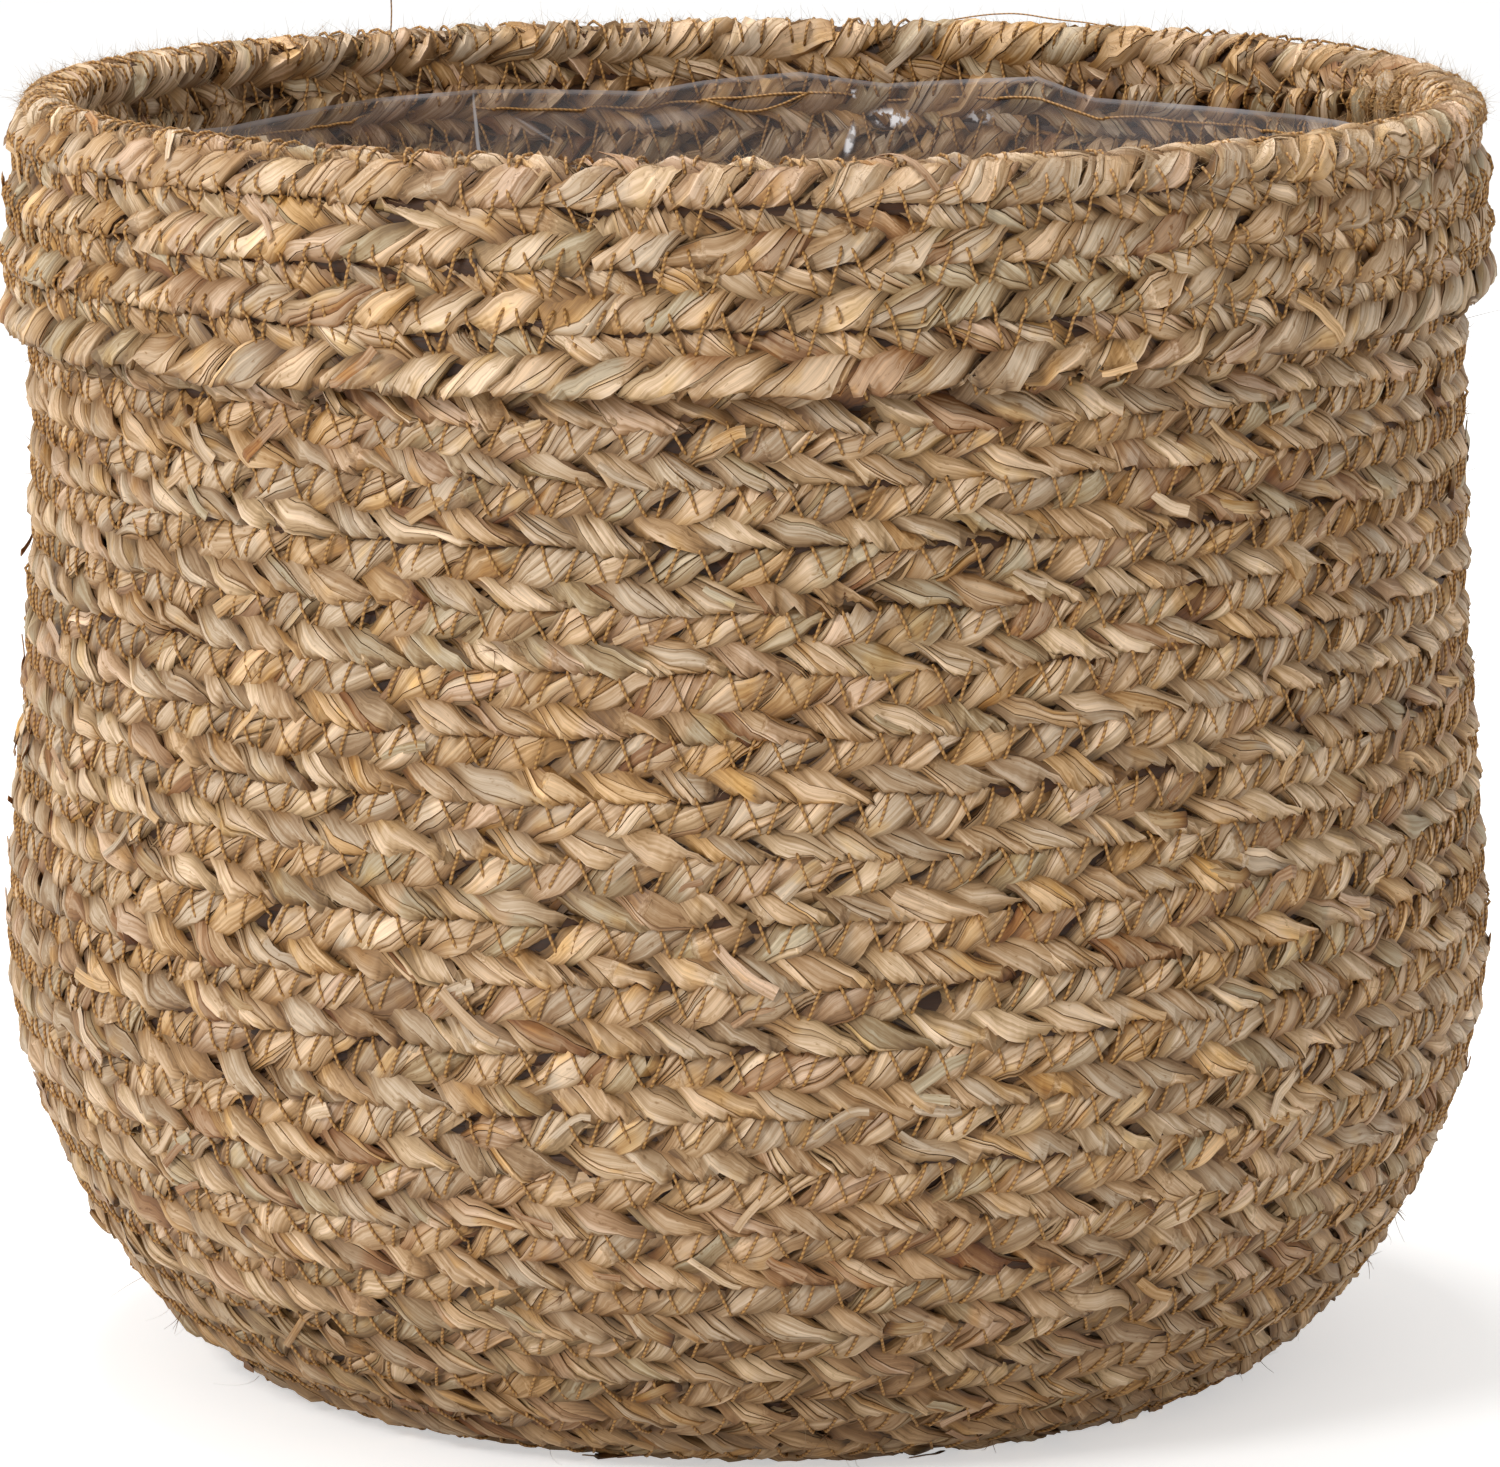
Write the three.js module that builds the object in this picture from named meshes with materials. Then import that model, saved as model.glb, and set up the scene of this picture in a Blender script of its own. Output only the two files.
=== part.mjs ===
// A round planter basket, in millimetres, +Z up, standing on z = 0.
// One long flat plait of dried grass is wound into a base, a wall and a cuff that is turned
// down over the rim. A thread sews each course to the next, and a clear film liner is sewn
// in just below the rim. Courses are solid tubes here: the lay of the strands is left out.
import * as THREE from "three";

// The basket's outside
const height = 349;
const baseRadius = 129.4;
const bellyRadius = 203.3;
const bellyHeight = 122;
const neckRadius = 195;
const rimFlare = 3;
const cuffDrop = 62;

// The plait and how its courses lie
const plaitThickness = 6.5;
const coursePitch = 15.66;
const courseGap = 0.56;
const grooveDepth = 2;
const baseEdgeSlant = 2;
const layerGap = 0.6;
const foldGap = 1.6;
const buttGap = 0.3;

// The threads and the liner
const seamThreadRadius = 0.55;
const linerThreadRadius = 0.5;
const threadGap = 0.35;
const filmThickness = 0.3;
const filmGap = 0.8;
const filmDrop = 19;
const linerStitchDrop = 23;

// Counts and the handles of the profile's curves
const stepsPerLoop = 24;
const linerStations = 15;
const arcSamples = 800;
const startLoopShare = 0.56;
const cornerReachShare = 0.409;
const cornerRiseShare = 0.523;
const bellyRiseShare = 0.092;
const neckBendShare = 0.27;
const neckRiseShare = 0.44;
const shoulderRiseShare = 0.25;
const shoulderTopShare = 0.4;
const cuffTopShare = 0.2;
const cuffFlareShare = 0.5;
const measureStepShare = 0.002;

// The profile is the middle of the plait's thickness: out along the base, up the wall,
// over the fold and down the cuff. Distances along it are what the pitch counts.
const half = plaitThickness / 2;
const foldRadius = half + foldGap / 2;
const foldHeight = height - half - foldRadius;
const rimRadius = neckRadius + rimFlare;
const wallTopRadius = rimRadius - half - 2 * foldRadius;
const cuffRadius = neckRadius + layerGap + half;
const cuffEdge = height - cuffDrop;
const neckHeight = cuffEdge;

function point(r, z) {
  return new THREE.Vector2(r, z);
}

function bend(...points) {
  const curve = new THREE.CubicBezierCurve(...points);
  curve.arcLengthDivisions = arcSamples;
  return curve;
}

const baseLine = new THREE.LineCurve(point(0, half), point(baseRadius, half));
const corner = bend(
  point(baseRadius, half),
  point(baseRadius + cornerReachShare * (bellyRadius - baseRadius), half),
  point(bellyRadius - half, cornerRiseShare * bellyHeight),
  point(bellyRadius - half, bellyHeight),
);
const upperWall = bend(
  point(bellyRadius - half, bellyHeight),
  point(bellyRadius - half, bellyHeight + bellyRiseShare * (neckHeight - bellyHeight)),
  point(
    neckRadius - half - neckBendShare * (bellyRadius - neckRadius),
    neckHeight - neckRiseShare * (neckHeight - bellyHeight),
  ),
  point(neckRadius - half, neckHeight),
);
const shoulder = bend(
  point(neckRadius - half, neckHeight),
  point(neckRadius - half, neckHeight + shoulderRiseShare * (foldHeight - neckHeight)),
  point(wallTopRadius, foldHeight - shoulderTopShare * (foldHeight - neckHeight)),
  point(wallTopRadius, foldHeight),
);
const fold = new THREE.EllipseCurve(
  wallTopRadius + foldRadius,
  foldHeight,
  foldRadius,
  foldRadius,
  Math.PI,
  0,
  true,
);
fold.arcLengthDivisions = arcSamples;
const cuffSide = bend(
  point(rimRadius - half, foldHeight),
  point(rimRadius - half, foldHeight - cuffTopShare * (foldHeight - cuffEdge)),
  point(cuffRadius, cuffEdge + cuffFlareShare * (foldHeight - cuffEdge)),
  point(cuffRadius, cuffEdge),
);

const profile = new THREE.CurvePath();
profile.curves.push(baseLine, corner, upperWall, shoulder, fold, cuffSide);
const curveEnds = profile.getCurveLengths();
const profileLength = curveEnds.at(-1);
const cornerStart = curveEnds[0];
const foldStart = curveEnds[3];
const measureStep = measureStepShare * coursePitch;

function middleAt(s) {
  return profile.getPoint(THREE.MathUtils.clamp(s / profileLength, 0, 1));
}

// A point beside the profile: along it by s, and out of the plait's face by out.
// Out is down under the base, outward on the wall and in towards the wall on the cuff.
function beside(s, out) {
  const along = middleAt(s + measureStep).sub(middleAt(s - measureStep)).normalize();
  return middleAt(s).add(point(along.y, -along.x).multiplyScalar(out));
}

// How much longer or shorter the plait's face at out is than its middle, near s.
function stretchAt(s, out) {
  const span = beside(s + measureStep, out).distanceTo(beside(s - measureStep, out));
  return span / (2 * measureStep);
}

// Steps along the winding, counted back from the cuff's tail, which ends at the back.
// The courses climb clockwise, seen from above.
const stepLength = coursePitch / stepsPerLoop;
const tailPlace = profileLength - coursePitch / 2;
const lastStep = Math.floor((tailPlace - startLoopShare * coursePitch) / stepLength);

function placeOf(step) {
  return tailPlace - (lastStep - step) * stepLength;
}

function turned(flat, step) {
  const whole = Math.floor(step);
  const share = step - whole;
  const spot = (count) => {
    const angle = Math.PI / 2 + ((lastStep - count) * 2 * Math.PI) / stepsPerLoop;
    return new THREE.Vector3(flat.x * Math.cos(angle), flat.x * Math.sin(angle), flat.y);
  };
  return share > 0 ? spot(whole).lerp(spot(whole + 1), share) : spot(whole);
}

function lastStepBefore(place) {
  return Math.floor(lastStep - (tailPlace - place) / stepLength);
}

const baseEnd = lastStepBefore(cornerStart - coursePitch / 2);
const wallEnd = lastStepBefore(foldStart - coursePitch / 2);

// Sections of a course, as points across it (shares of half its width) and out of it
const groove = half - grooveDepth;
const baseSection = [
  { side: -1, out: -half },
  { side: 1, out: -half },
  { side: 1, out: half, inset: baseEdgeSlant },
  { side: -1, out: half, inset: baseEdgeSlant },
];
const wallSection = [
  { side: -1, out: -half },
  { side: 1, out: -half },
  { side: 1, out: groove },
  { side: 0, out: half },
  { side: -1, out: groove },
];
const cuffInnerShare = 1 / 3;
const cuffSection = [
  { side: -1, out: -groove },
  { side: -cuffInnerShare, out: -half },
  { side: cuffInnerShare, out: -half },
  { side: 1, out: -groove },
  { side: 1, out: groove },
  { side: cuffInnerShare, out: half },
  { side: -cuffInnerShare, out: half },
  { side: -1, out: groove },
];

function courseRing(section, step) {
  const s = placeOf(step);
  return section.map(({ side, out, inset = 0 }) => {
    const edge = s + Math.sign(side) * (coursePitch / 2);
    const room = courseGap / 2 / Math.min(1, stretchAt(edge, out));
    const across = side * (coursePitch / 2 - room - inset);
    return turned(beside(s + across, out), step);
  });
}

const threadCorners = 3;

function threadRing(place, step, out, radius, facing) {
  const corners = [];
  for (let i = 0; i < threadCorners; i++) {
    const angle = (i * 2 * Math.PI) / threadCorners;
    const across = radius * Math.sin(angle);
    corners.push(turned(beside(place + across, out - facing * radius * Math.cos(angle)), step));
  }
  return facing > 0 ? corners : corners.reverse();
}

// One closed tube through a list of rings that all have the same number of points
function tube(rings) {
  const count = rings[0].length;
  const places = [];
  const faces = [];
  for (const p of rings.flat()) places.push(p.x, p.y, p.z);
  for (let i = 0; i + 1 < rings.length; i++) {
    for (let j = 0; j < count; j++) {
      const a = i * count + j;
      const b = i * count + ((j + 1) % count);
      faces.push(a, b + count, b, a, a + count, b + count);
    }
  }
  const capOf = (ring) => {
    const axisU = ring[1].clone().sub(ring[0]).normalize();
    const normal = new THREE.Vector3();
    for (let j = 0; j < count; j++) normal.add(ring[j].clone().cross(ring[(j + 1) % count]));
    const axisV = normal.normalize().clone().cross(axisU);
    const flat = ring.map((p) => point(p.dot(axisU), p.dot(axisV)));
    return THREE.ShapeUtils.triangulateShape(flat, []);
  };
  const last = (rings.length - 1) * count;
  for (const cap of capOf(rings[0])) faces.push(...cap);
  for (const [a, b, c] of capOf(rings.at(-1))) faces.push(last + a, last + c, last + b);
  const geometry = new THREE.BufferGeometry();
  geometry.setAttribute("position", new THREE.Float32BufferAttribute(places, 3));
  geometry.setIndex(faces);
  return geometry;
}

function stepsBetween(first, last) {
  const steps = [first];
  for (let step = Math.floor(first) + 1; step < last; step++) steps.push(step);
  steps.push(last);
  return steps;
}

// The least gap from a winding to itself, on its points one loop apart
function printLeastGap(name, rings) {
  let least = Infinity;
  for (let i = 0; i + stepsPerLoop < rings.length; i++) {
    for (const a of rings[i]) {
      for (const b of rings[i + stepsPerLoop]) least = Math.min(least, a.distanceTo(b));
    }
  }
  if (least < Infinity) console.log(`${name}: least gap to itself ${least.toFixed(2)} mm`);
}

const plaitLook = new THREE.MeshStandardMaterial({ color: 0xb79a6e, roughness: 0.85 });
const cuffLook = new THREE.MeshStandardMaterial({ color: 0xc4aa80, roughness: 0.85 });
const baseLook = new THREE.MeshStandardMaterial({ color: 0x8f744d, roughness: 0.9 });
const threadLook = new THREE.MeshStandardMaterial({ color: 0x9a6b2f, roughness: 0.7 });
const filmLook = new THREE.MeshStandardMaterial({
  color: 0xd9dadb,
  roughness: 0.2,
  transparent: true,
  opacity: 0.4,
});

const basket = new THREE.Group();

function addPiece(name, geometry, material) {
  geometry.computeVertexNormals();
  const mesh = new THREE.Mesh(geometry, material);
  mesh.name = name;
  basket.add(mesh);
}

function addPlait(name, section, first, last, material) {
  const rings = stepsBetween(first, last).map((step) => courseRing(section, step));
  printLeastGap(name, rings);
  addPiece(name, tube(rings), material);
}

// The butt gap between two stretches of plait, as a share of a step at radius r
function gapSteps(gap, place) {
  return gap / ((middleAt(place).x * 2 * Math.PI) / stepsPerLoop);
}

addPlait("base_plait", baseSection, 0, baseEnd, baseLook);
addPlait(
  "wall_plait",
  wallSection,
  baseEnd + gapSteps(buttGap, placeOf(baseEnd)),
  wallEnd,
  plaitLook,
);
addPlait(
  "cuff_plait",
  cuffSection,
  wallEnd + gapSteps(buttGap, placeOf(wallEnd)),
  lastStep,
  cuffLook,
);

// Each seam thread lies in the groove between a course and the next one
const threadHalfWidth = seamThreadRadius * Math.sin((2 * Math.PI) / threadCorners);
const slantRun = threadHalfWidth + threadGap - courseGap / 2;
const baseThreadOut = (plaitThickness * slantRun) / baseEdgeSlant - half - seamThreadRadius / 2;
const wallThreadOut = groove + threadGap + seamThreadRadius;

function addSeam(name, first, last, out, facing) {
  const rings = stepsBetween(first, last).map((step) =>
    threadRing(placeOf(step) + coursePitch / 2, step, out, seamThreadRadius, facing),
  );
  printLeastGap(name, rings);
  addPiece(name, tube(rings), threadLook);
}

const baseSeamEnd = baseEnd - stepsPerLoop;
const cuffSeamEnd = lastStep - stepsPerLoop;
addSeam("base_seam_thread", 0, baseSeamEnd, baseThreadOut, 1);
addSeam("wall_seam_thread", baseSeamEnd + 1, wallEnd, wallThreadOut, 1);
addSeam("cuff_seam_thread", wallEnd + 1, cuffSeamEnd, -wallThreadOut, -1);

// The liner is a bag of film against the inside of the base and the wall, open at the top
const filmTop = height - filmDrop;
const filmOuter = -half - filmGap;
const filmInner = filmOuter - filmThickness;

function placeAtHeight(z) {
  let low = cornerStart;
  let high = foldStart;
  while (high - low > measureStep) {
    const mid = (low + high) / 2;
    if (middleAt(mid).y < z) low = mid;
    else high = mid;
  }
  return low;
}

function filmPoint(s, out) {
  return s > 0 ? beside(s, out) : point(0, half - out);
}

const filmEnd = placeAtHeight(filmTop);
const filmPlaces = [0];
for (let i = 0; i <= linerStations; i++) {
  filmPlaces.push(cornerStart + ((filmEnd - cornerStart) * i) / linerStations);
}
const filmOutline = [];
for (const s of filmPlaces) filmOutline.push(filmPoint(s, filmOuter));
for (const s of [...filmPlaces].reverse()) filmOutline.push(filmPoint(s, filmInner));
const film = new THREE.LatheGeometry(filmOutline, stepsPerLoop);
film.deleteAttribute("normal");
film.deleteAttribute("uv");
film.rotateX(Math.PI / 2);
addPiece("film_liner", film, filmLook);

// The running stitch that holds the film: one turn of thread just below its edge
const linerStitchPlace = placeAtHeight(height - linerStitchDrop);
const linerStitchOut = filmInner - threadGap - linerThreadRadius;
const linerStitchStart = lastStep - stepsPerLoop + gapSteps(buttGap, linerStitchPlace);
const linerStitchRings = stepsBetween(linerStitchStart, lastStep).map((step) =>
  threadRing(linerStitchPlace, step, linerStitchOut, linerThreadRadius, 1),
);
addPiece("liner_stitch_thread", tube(linerStitchRings), threadLook);

console.log(`loops: base ${(baseEnd / stepsPerLoop).toFixed(1)}`);
console.log(`loops: wall ${((wallEnd - baseEnd) / stepsPerLoop).toFixed(1)}`);
console.log(`loops: cuff ${((lastStep - wallEnd) / stepsPerLoop).toFixed(1)}`);

export default basket;
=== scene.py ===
# Planter basket: one long three-strand plait of dried grass, wound and sewn, with a film liner.
# Everything is in metres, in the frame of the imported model. Plait, thread and film are meshes
# made along one profile: out along the base, up the wall, over the rim and down the cuff.
import math

import bpy
import numpy as np
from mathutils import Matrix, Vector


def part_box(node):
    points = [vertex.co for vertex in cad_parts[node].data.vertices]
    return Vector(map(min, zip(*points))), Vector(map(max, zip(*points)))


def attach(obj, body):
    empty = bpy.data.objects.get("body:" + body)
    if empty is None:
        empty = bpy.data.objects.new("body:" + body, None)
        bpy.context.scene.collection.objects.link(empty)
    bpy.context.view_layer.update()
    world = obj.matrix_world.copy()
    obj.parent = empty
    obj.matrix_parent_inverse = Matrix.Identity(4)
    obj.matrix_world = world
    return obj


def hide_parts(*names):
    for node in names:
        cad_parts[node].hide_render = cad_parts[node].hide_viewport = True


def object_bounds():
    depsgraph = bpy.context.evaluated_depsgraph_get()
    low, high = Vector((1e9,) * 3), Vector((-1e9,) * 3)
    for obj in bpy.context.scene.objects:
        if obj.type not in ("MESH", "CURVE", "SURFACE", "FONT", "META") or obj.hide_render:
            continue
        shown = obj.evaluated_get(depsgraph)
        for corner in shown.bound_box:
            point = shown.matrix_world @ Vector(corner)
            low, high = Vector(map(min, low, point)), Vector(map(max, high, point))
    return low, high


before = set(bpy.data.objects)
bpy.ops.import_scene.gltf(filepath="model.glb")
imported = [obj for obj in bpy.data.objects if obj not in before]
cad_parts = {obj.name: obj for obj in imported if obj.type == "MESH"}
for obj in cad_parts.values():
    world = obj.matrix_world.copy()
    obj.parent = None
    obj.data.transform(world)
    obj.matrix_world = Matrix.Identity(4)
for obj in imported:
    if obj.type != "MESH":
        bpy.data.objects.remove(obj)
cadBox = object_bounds()
mm = 0.001
fullTurn = 2 * math.pi

basket = {
    "height": cadBox[1][2],
    "bellyRadius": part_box("wall_plait")[1][0],
    "bellyHeight": 122 * mm,
    "baseRadius": 129.4 * mm,
    "neckRadius": 195 * mm,
    "rimFlare": 3 * mm,
    "cuffEdge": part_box("cuff_plait")[0][2],
    "plaitThickness": 6.5 * mm,
    "foldGap": 1.6 * mm,          # between wall and cuff at the rim
    "layerGap": 0.6 * mm,         # and at the cuff's edge
    "coursePitch": 15.66 * mm,
    "loops": 35.03,
    "lowRoom": 30 * mm,           # below the cuff's edge, for a course that hangs low
}

# how far the profile's curves run on at their ends, as shares of their reach, rise or fall
curves = {
    "cornerOut": 0.409,
    "cornerUp": 0.523,
    "bellyUp": 0.092,
    "neckIn": 0.27,
    "neckDown": 0.44,
    "rimUp": 0.25,
    "rimDown": 0.4,
    "cuffDown": 0.2,
    "cuffUp": 0.5,
}


# a curve from its first to its last point, drawn towards the two between
def bezier(points, count=400):
    t = np.linspace(0, 1, count)[:, None]
    p = np.array(points, float)
    return (1 - t) ** 3 * p[0] + 3 * t * (1 - t) ** 2 * p[1] + 3 * t * t * (1 - t) * p[2] + t ** 3 * p[3]


# the middle of the plait's thickness: radius and height against the distance s along the profile
def makeProfile(size):
    half = size["plaitThickness"] / 2
    foldRadius = half + size["foldGap"] / 2
    foldHeight = size["height"] - half - foldRadius
    belly = size["bellyRadius"] - half
    neck = size["neckRadius"] - half
    rim = size["neckRadius"] + size["rimFlare"] - half
    wallTop = rim - 2 * foldRadius
    edge = size["cuffEdge"]
    cuff = size["neckRadius"] + size["layerGap"] + half
    base, bellyHeight = size["baseRadius"], size["bellyHeight"]
    reach, rise, fall = size["bellyRadius"] - base, edge - bellyHeight, foldHeight - edge
    arc = np.linspace(math.pi, 0, 120)
    stretches = [
        np.array([[0, half], [base, half]]),
        bezier([
            (base, half),
            (base + curves["cornerOut"] * reach, half),
            (belly, curves["cornerUp"] * bellyHeight),
            (belly, bellyHeight),
        ]),
        bezier([
            (belly, bellyHeight),
            (belly, bellyHeight + curves["bellyUp"] * rise),
            (neck - curves["neckIn"] * (belly - neck), edge - curves["neckDown"] * rise),
            (neck, edge),
        ]),
        bezier([
            (neck, edge),
            (neck, edge + curves["rimUp"] * fall),
            (wallTop, foldHeight - curves["rimDown"] * fall),
            (wallTop, foldHeight),
        ]),
        np.c_[wallTop + foldRadius * (1 + np.cos(arc)), foldHeight + foldRadius * np.sin(arc)],
        bezier([
            (rim, foldHeight),
            (rim, foldHeight - curves["cuffDown"] * fall),
            (cuff, edge + curves["cuffUp"] * fall),
            (cuff, edge),
        ]),
        np.array([[cuff, edge], [cuff, edge - size["lowRoom"]]]),
    ]
    points = np.vstack([stretches[0]] + [part[1:] for part in stretches[1:]])
    length = np.r_[0, np.cumsum(np.hypot(*np.diff(points, axis=0).T))]
    ends = length[np.cumsum([len(part) - 1 for part in stretches])]
    even = np.linspace(0, length[-1], 4200)
    r = np.interp(even, length, points[:, 0])
    z = np.interp(even, length, points[:, 1])
    dr, dz = np.gradient(r, even), np.gradient(z, even)
    norm = np.hypot(dr, dz)
    return {
        "s": even, "r": r, "z": z, "outR": dz / norm, "outZ": -dr / norm,
        "cornerStart": ends[0], "wallTop": ends[3], "foldEnd": ends[4], "end": ends[5],
    }


profile = makeProfile(basket)
pitch = basket["coursePitch"]
tailPlace = profile["end"] - pitch / 2


# radius and height of a place on the profile, moved out by a distance
def offProfile(s, out):
    r, outR = np.interp(s, profile["s"], profile["r"]), np.interp(s, profile["s"], profile["outR"])
    z, outZ = np.interp(s, profile["s"], profile["z"]), np.interp(s, profile["s"], profile["outZ"])
    return r + out * outR, z + out * outZ


driftReach = 42  # metres or turns: further than anything that drifts
driftRoom = 25   # cells kept free before the start
driftTables = {}


# random values, about -1 to 1, that change over a distance of wave; kinked ones run in straight lines
def drift(x, wave, seed, kinked=False):
    if (wave, seed) not in driftTables:
        cells = int(driftReach / wave) + 2 * driftRoom + 10
        driftTables[wave, seed] = np.random.default_rng(seed).uniform(-1, 1, cells)
    values = driftTables[wave, seed]
    grid = np.asarray(x, float) / wave + driftRoom
    cell = np.floor(grid).astype(int)
    f = grid - cell
    if not kinked:
        f = f * f * (3 - 2 * f)
    return values[cell] * (1 - f) + values[cell + 1] * f


handWork = {
    # how far the courses sit off an even spiral, in mm: all of them, to the side, with t up the wall
    "slide": {"all": -1.8, "side": 7.1, "t": 27.1, "sideT": 2.4, "tt": -22.4, "sideTT": -11.2},
    "slideStart": 0.13,           # where t is 0, in metres along the profile
    "slideReach": 0.43,           # and from there to where t is 1
    "slideFrom": 0.03,            # no slide before this place on the base
    "slideFull": 0.10,            # and all of it this much further
    "wobble": 0.7 * mm,           # courses wander up and down
    "wobbleTurns": 0.17,          # turns over which they do
    "bulge": 0.55 * mm,           # and in and out
    "bulgeTurns": 0.11,
    "settle": 100 * mm,           # the wobble grows over this far from the middle of the base
    "floorRoom": 0.8 * mm,        # below this height a place is pressed up from the floor
}


# how far a course sits along the profile from its even place; nothing at the back
def slideAt(angle, s):
    side = np.cos(angle)
    t = (s - handWork["slideStart"]) / handWork["slideReach"]
    c = handWork["slide"]
    slide = c["all"] + c["side"] * side + c["t"] * t + c["sideT"] * side * t
    slide = slide + c["tt"] * t * t + c["sideTT"] * side * t * t
    front = np.clip(1 - np.sin(angle), 0, 1)
    front = front * front * (3 - 2 * front)
    rising = np.clip((s - handWork["slideFrom"]) / handWork["slideFull"], 0, 1)
    return slide * front * rising * mm


# a place on the basket: turns back from the cuff's tail, distance across the course, distance out
def onBasket(back, across, out):
    s = tailPlace - back * pitch + across
    angle = math.pi / 2 + back * fullTurn
    wobble = handWork["wobble"] * drift(back, handWork["wobbleTurns"], 5)
    s = s + slideAt(angle, s) + wobble * np.clip(s / handWork["settle"], 0, 1)
    r, z = offProfile(s, out + handWork["bulge"] * drift(back, handWork["bulgeTurns"], 6))
    room = handWork["floorRoom"]
    z = np.where(z > room, z, room * np.exp(np.minimum(z / room - 1, 0)))
    return np.stack([r * np.cos(angle), r * np.sin(angle), z], -1)


# distance along the plait, counted back from the tail
backTable = np.linspace(-0.05, basket["loops"] + 0.02, 24000)
radiusTable = np.interp(tailPlace - backTable * pitch, profile["s"], profile["r"])
stepLengths = fullTurn * (radiusTable[1:] + radiusTable[:-1]) / 2 * np.diff(backTable)
lengthTable = np.r_[0, np.cumsum(stepLengths)]


def backAt(length):
    return np.interp(length, lengthTable, backTable)


def lengthAt(back):
    return np.interp(back, backTable, lengthTable)


plait = {
    "period": 50 * mm,            # one strand's full weave
    "edge": 7.1 * mm,             # from the plait's middle to a strand's fold, measured along the strand
    "spread": 1.25,               # courses overlap by a little
    "sag": 1.1 * mm,              # the middle of the weave lies nearer to the lower edge
    "lift": 1.5 * mm,             # how far a strand's middle lies in front of or behind the plait's middle
    "halfWidth": 4.3 * mm,
    "halfDepth": 1.85 * mm,
    "squareness": 0.9,            # of the strand's section: 1 is an oval, less is squarer
    "pinch": 0.15,                # narrower and thinner at the middle and the folds
    "flatFold": 0.12,             # and thinner still at the folds
    "bend": 0.30,                 # steeper at the middle, flatter at the folds
    "bias": 0.32,                 # flatter on the face that shows than behind it
    "turnOver": 0.4,              # turns at the rim over which the face that shows changes
    "foldPower": 0.7,             # how fast a strand's middle sinks in at its fold
    "unevenPhase": (0.30, 0.14),  # folds come early or late, over a long and a short distance
    "unevenRun": (45 * mm, 17 * mm),
    "roll": 0.22,
    "rollRun": 19 * mm,
    "swell": (0.12, 0.14),        # width and depth of a strand change by this share
    "swellRun": 16 * mm,
    "loosen": 0.11,               # how far a strand's reach across the plait changes
    "loosenRun": 23 * mm,
    "stray": 0.55 * mm,           # how far a strand lies off its place across the plait
    "strayRun": 19 * mm,
    "skew": 0.25,                 # slant of the folds across the strand
    "skewRun": 16.7 * mm,
    "kinkGap": (4.6 * mm, 8.4 * mm),  # between the strand's small kinks
    "kinkLead": 20 * mm,          # they start this far before the tail
    "kinkCount": 6400,
    "leaves": 7,
    "twist": 0.8,                 # turns of the leaves round the strand per metre
    "tilt": 0.14,                 # each course leans out over the one below
    "deepShade": 0.20,            # light left on a strand's hidden parts
    "litFrom": (0.8 * mm, 3.2 * mm),  # out from the plait's middle: where that ends, and full light starts
    "edgeShade": 0.75,            # how much darker its outermost edges are
    "sharpEdge": 42,              # degrees
}
wallStart = (tailPlace - profile["cornerStart"]) / pitch + 0.5
wallEnd = (tailPlace - profile["wallTop"]) / pitch + 0.5

# colours of the leaves and how often each comes up
leafTones = {
    "straw": ((0.716, 0.499, 0.311), 0.32),
    "pale": ((0.833, 0.615, 0.413), 0.16),
    "grey": ((0.61, 0.466, 0.324), 0.20),
    "green": ((0.547, 0.44, 0.29), 0.08),
    "gold": ((0.742, 0.48, 0.248), 0.07),
    "pink": ((0.69, 0.474, 0.318), 0.05),
    "brown": ((0.467, 0.284, 0.158), 0.04),
}
palette = np.array([tone for tone, share in leafTones.values()])
paletteShares = np.array([share for tone, share in leafTones.values()])
paletteShares = paletteShares / paletteShares.sum()


# places along the plait where a strand is kinked
def kinksOf(strand):
    rng = np.random.default_rng(400 + strand)
    return np.cumsum(rng.uniform(*plait["kinkGap"], plait["kinkCount"])) - plait["kinkLead"]


kinkTables = [kinksOf(strand) for strand in range(3)]


# a strand's phase and how far its middle has been laid across the plait, as if it never folded back
def strandPath(length, strand):
    kinks = kinkTables[strand]
    phase = fullTurn * (kinks / plait["period"] + strand / 3)
    for most, run, seed in zip(plait["unevenPhase"], plait["unevenRun"], (11, 15)):
        phase = phase + most * drift(kinks, run, seed + strand)
    shown = np.clip((backAt(kinks) - wallEnd) / plait["turnOver"], -1, 1)  # the cuff shows the other face
    laid = phase + plait["bend"] / 2 * np.sin(2 * phase) - plait["bias"] * shown * np.sin(phase) ** 2
    laid = 2 * plait["edge"] / math.pi * laid
    return np.interp(length, kinks, phase), np.interp(length, kinks, laid)


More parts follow.
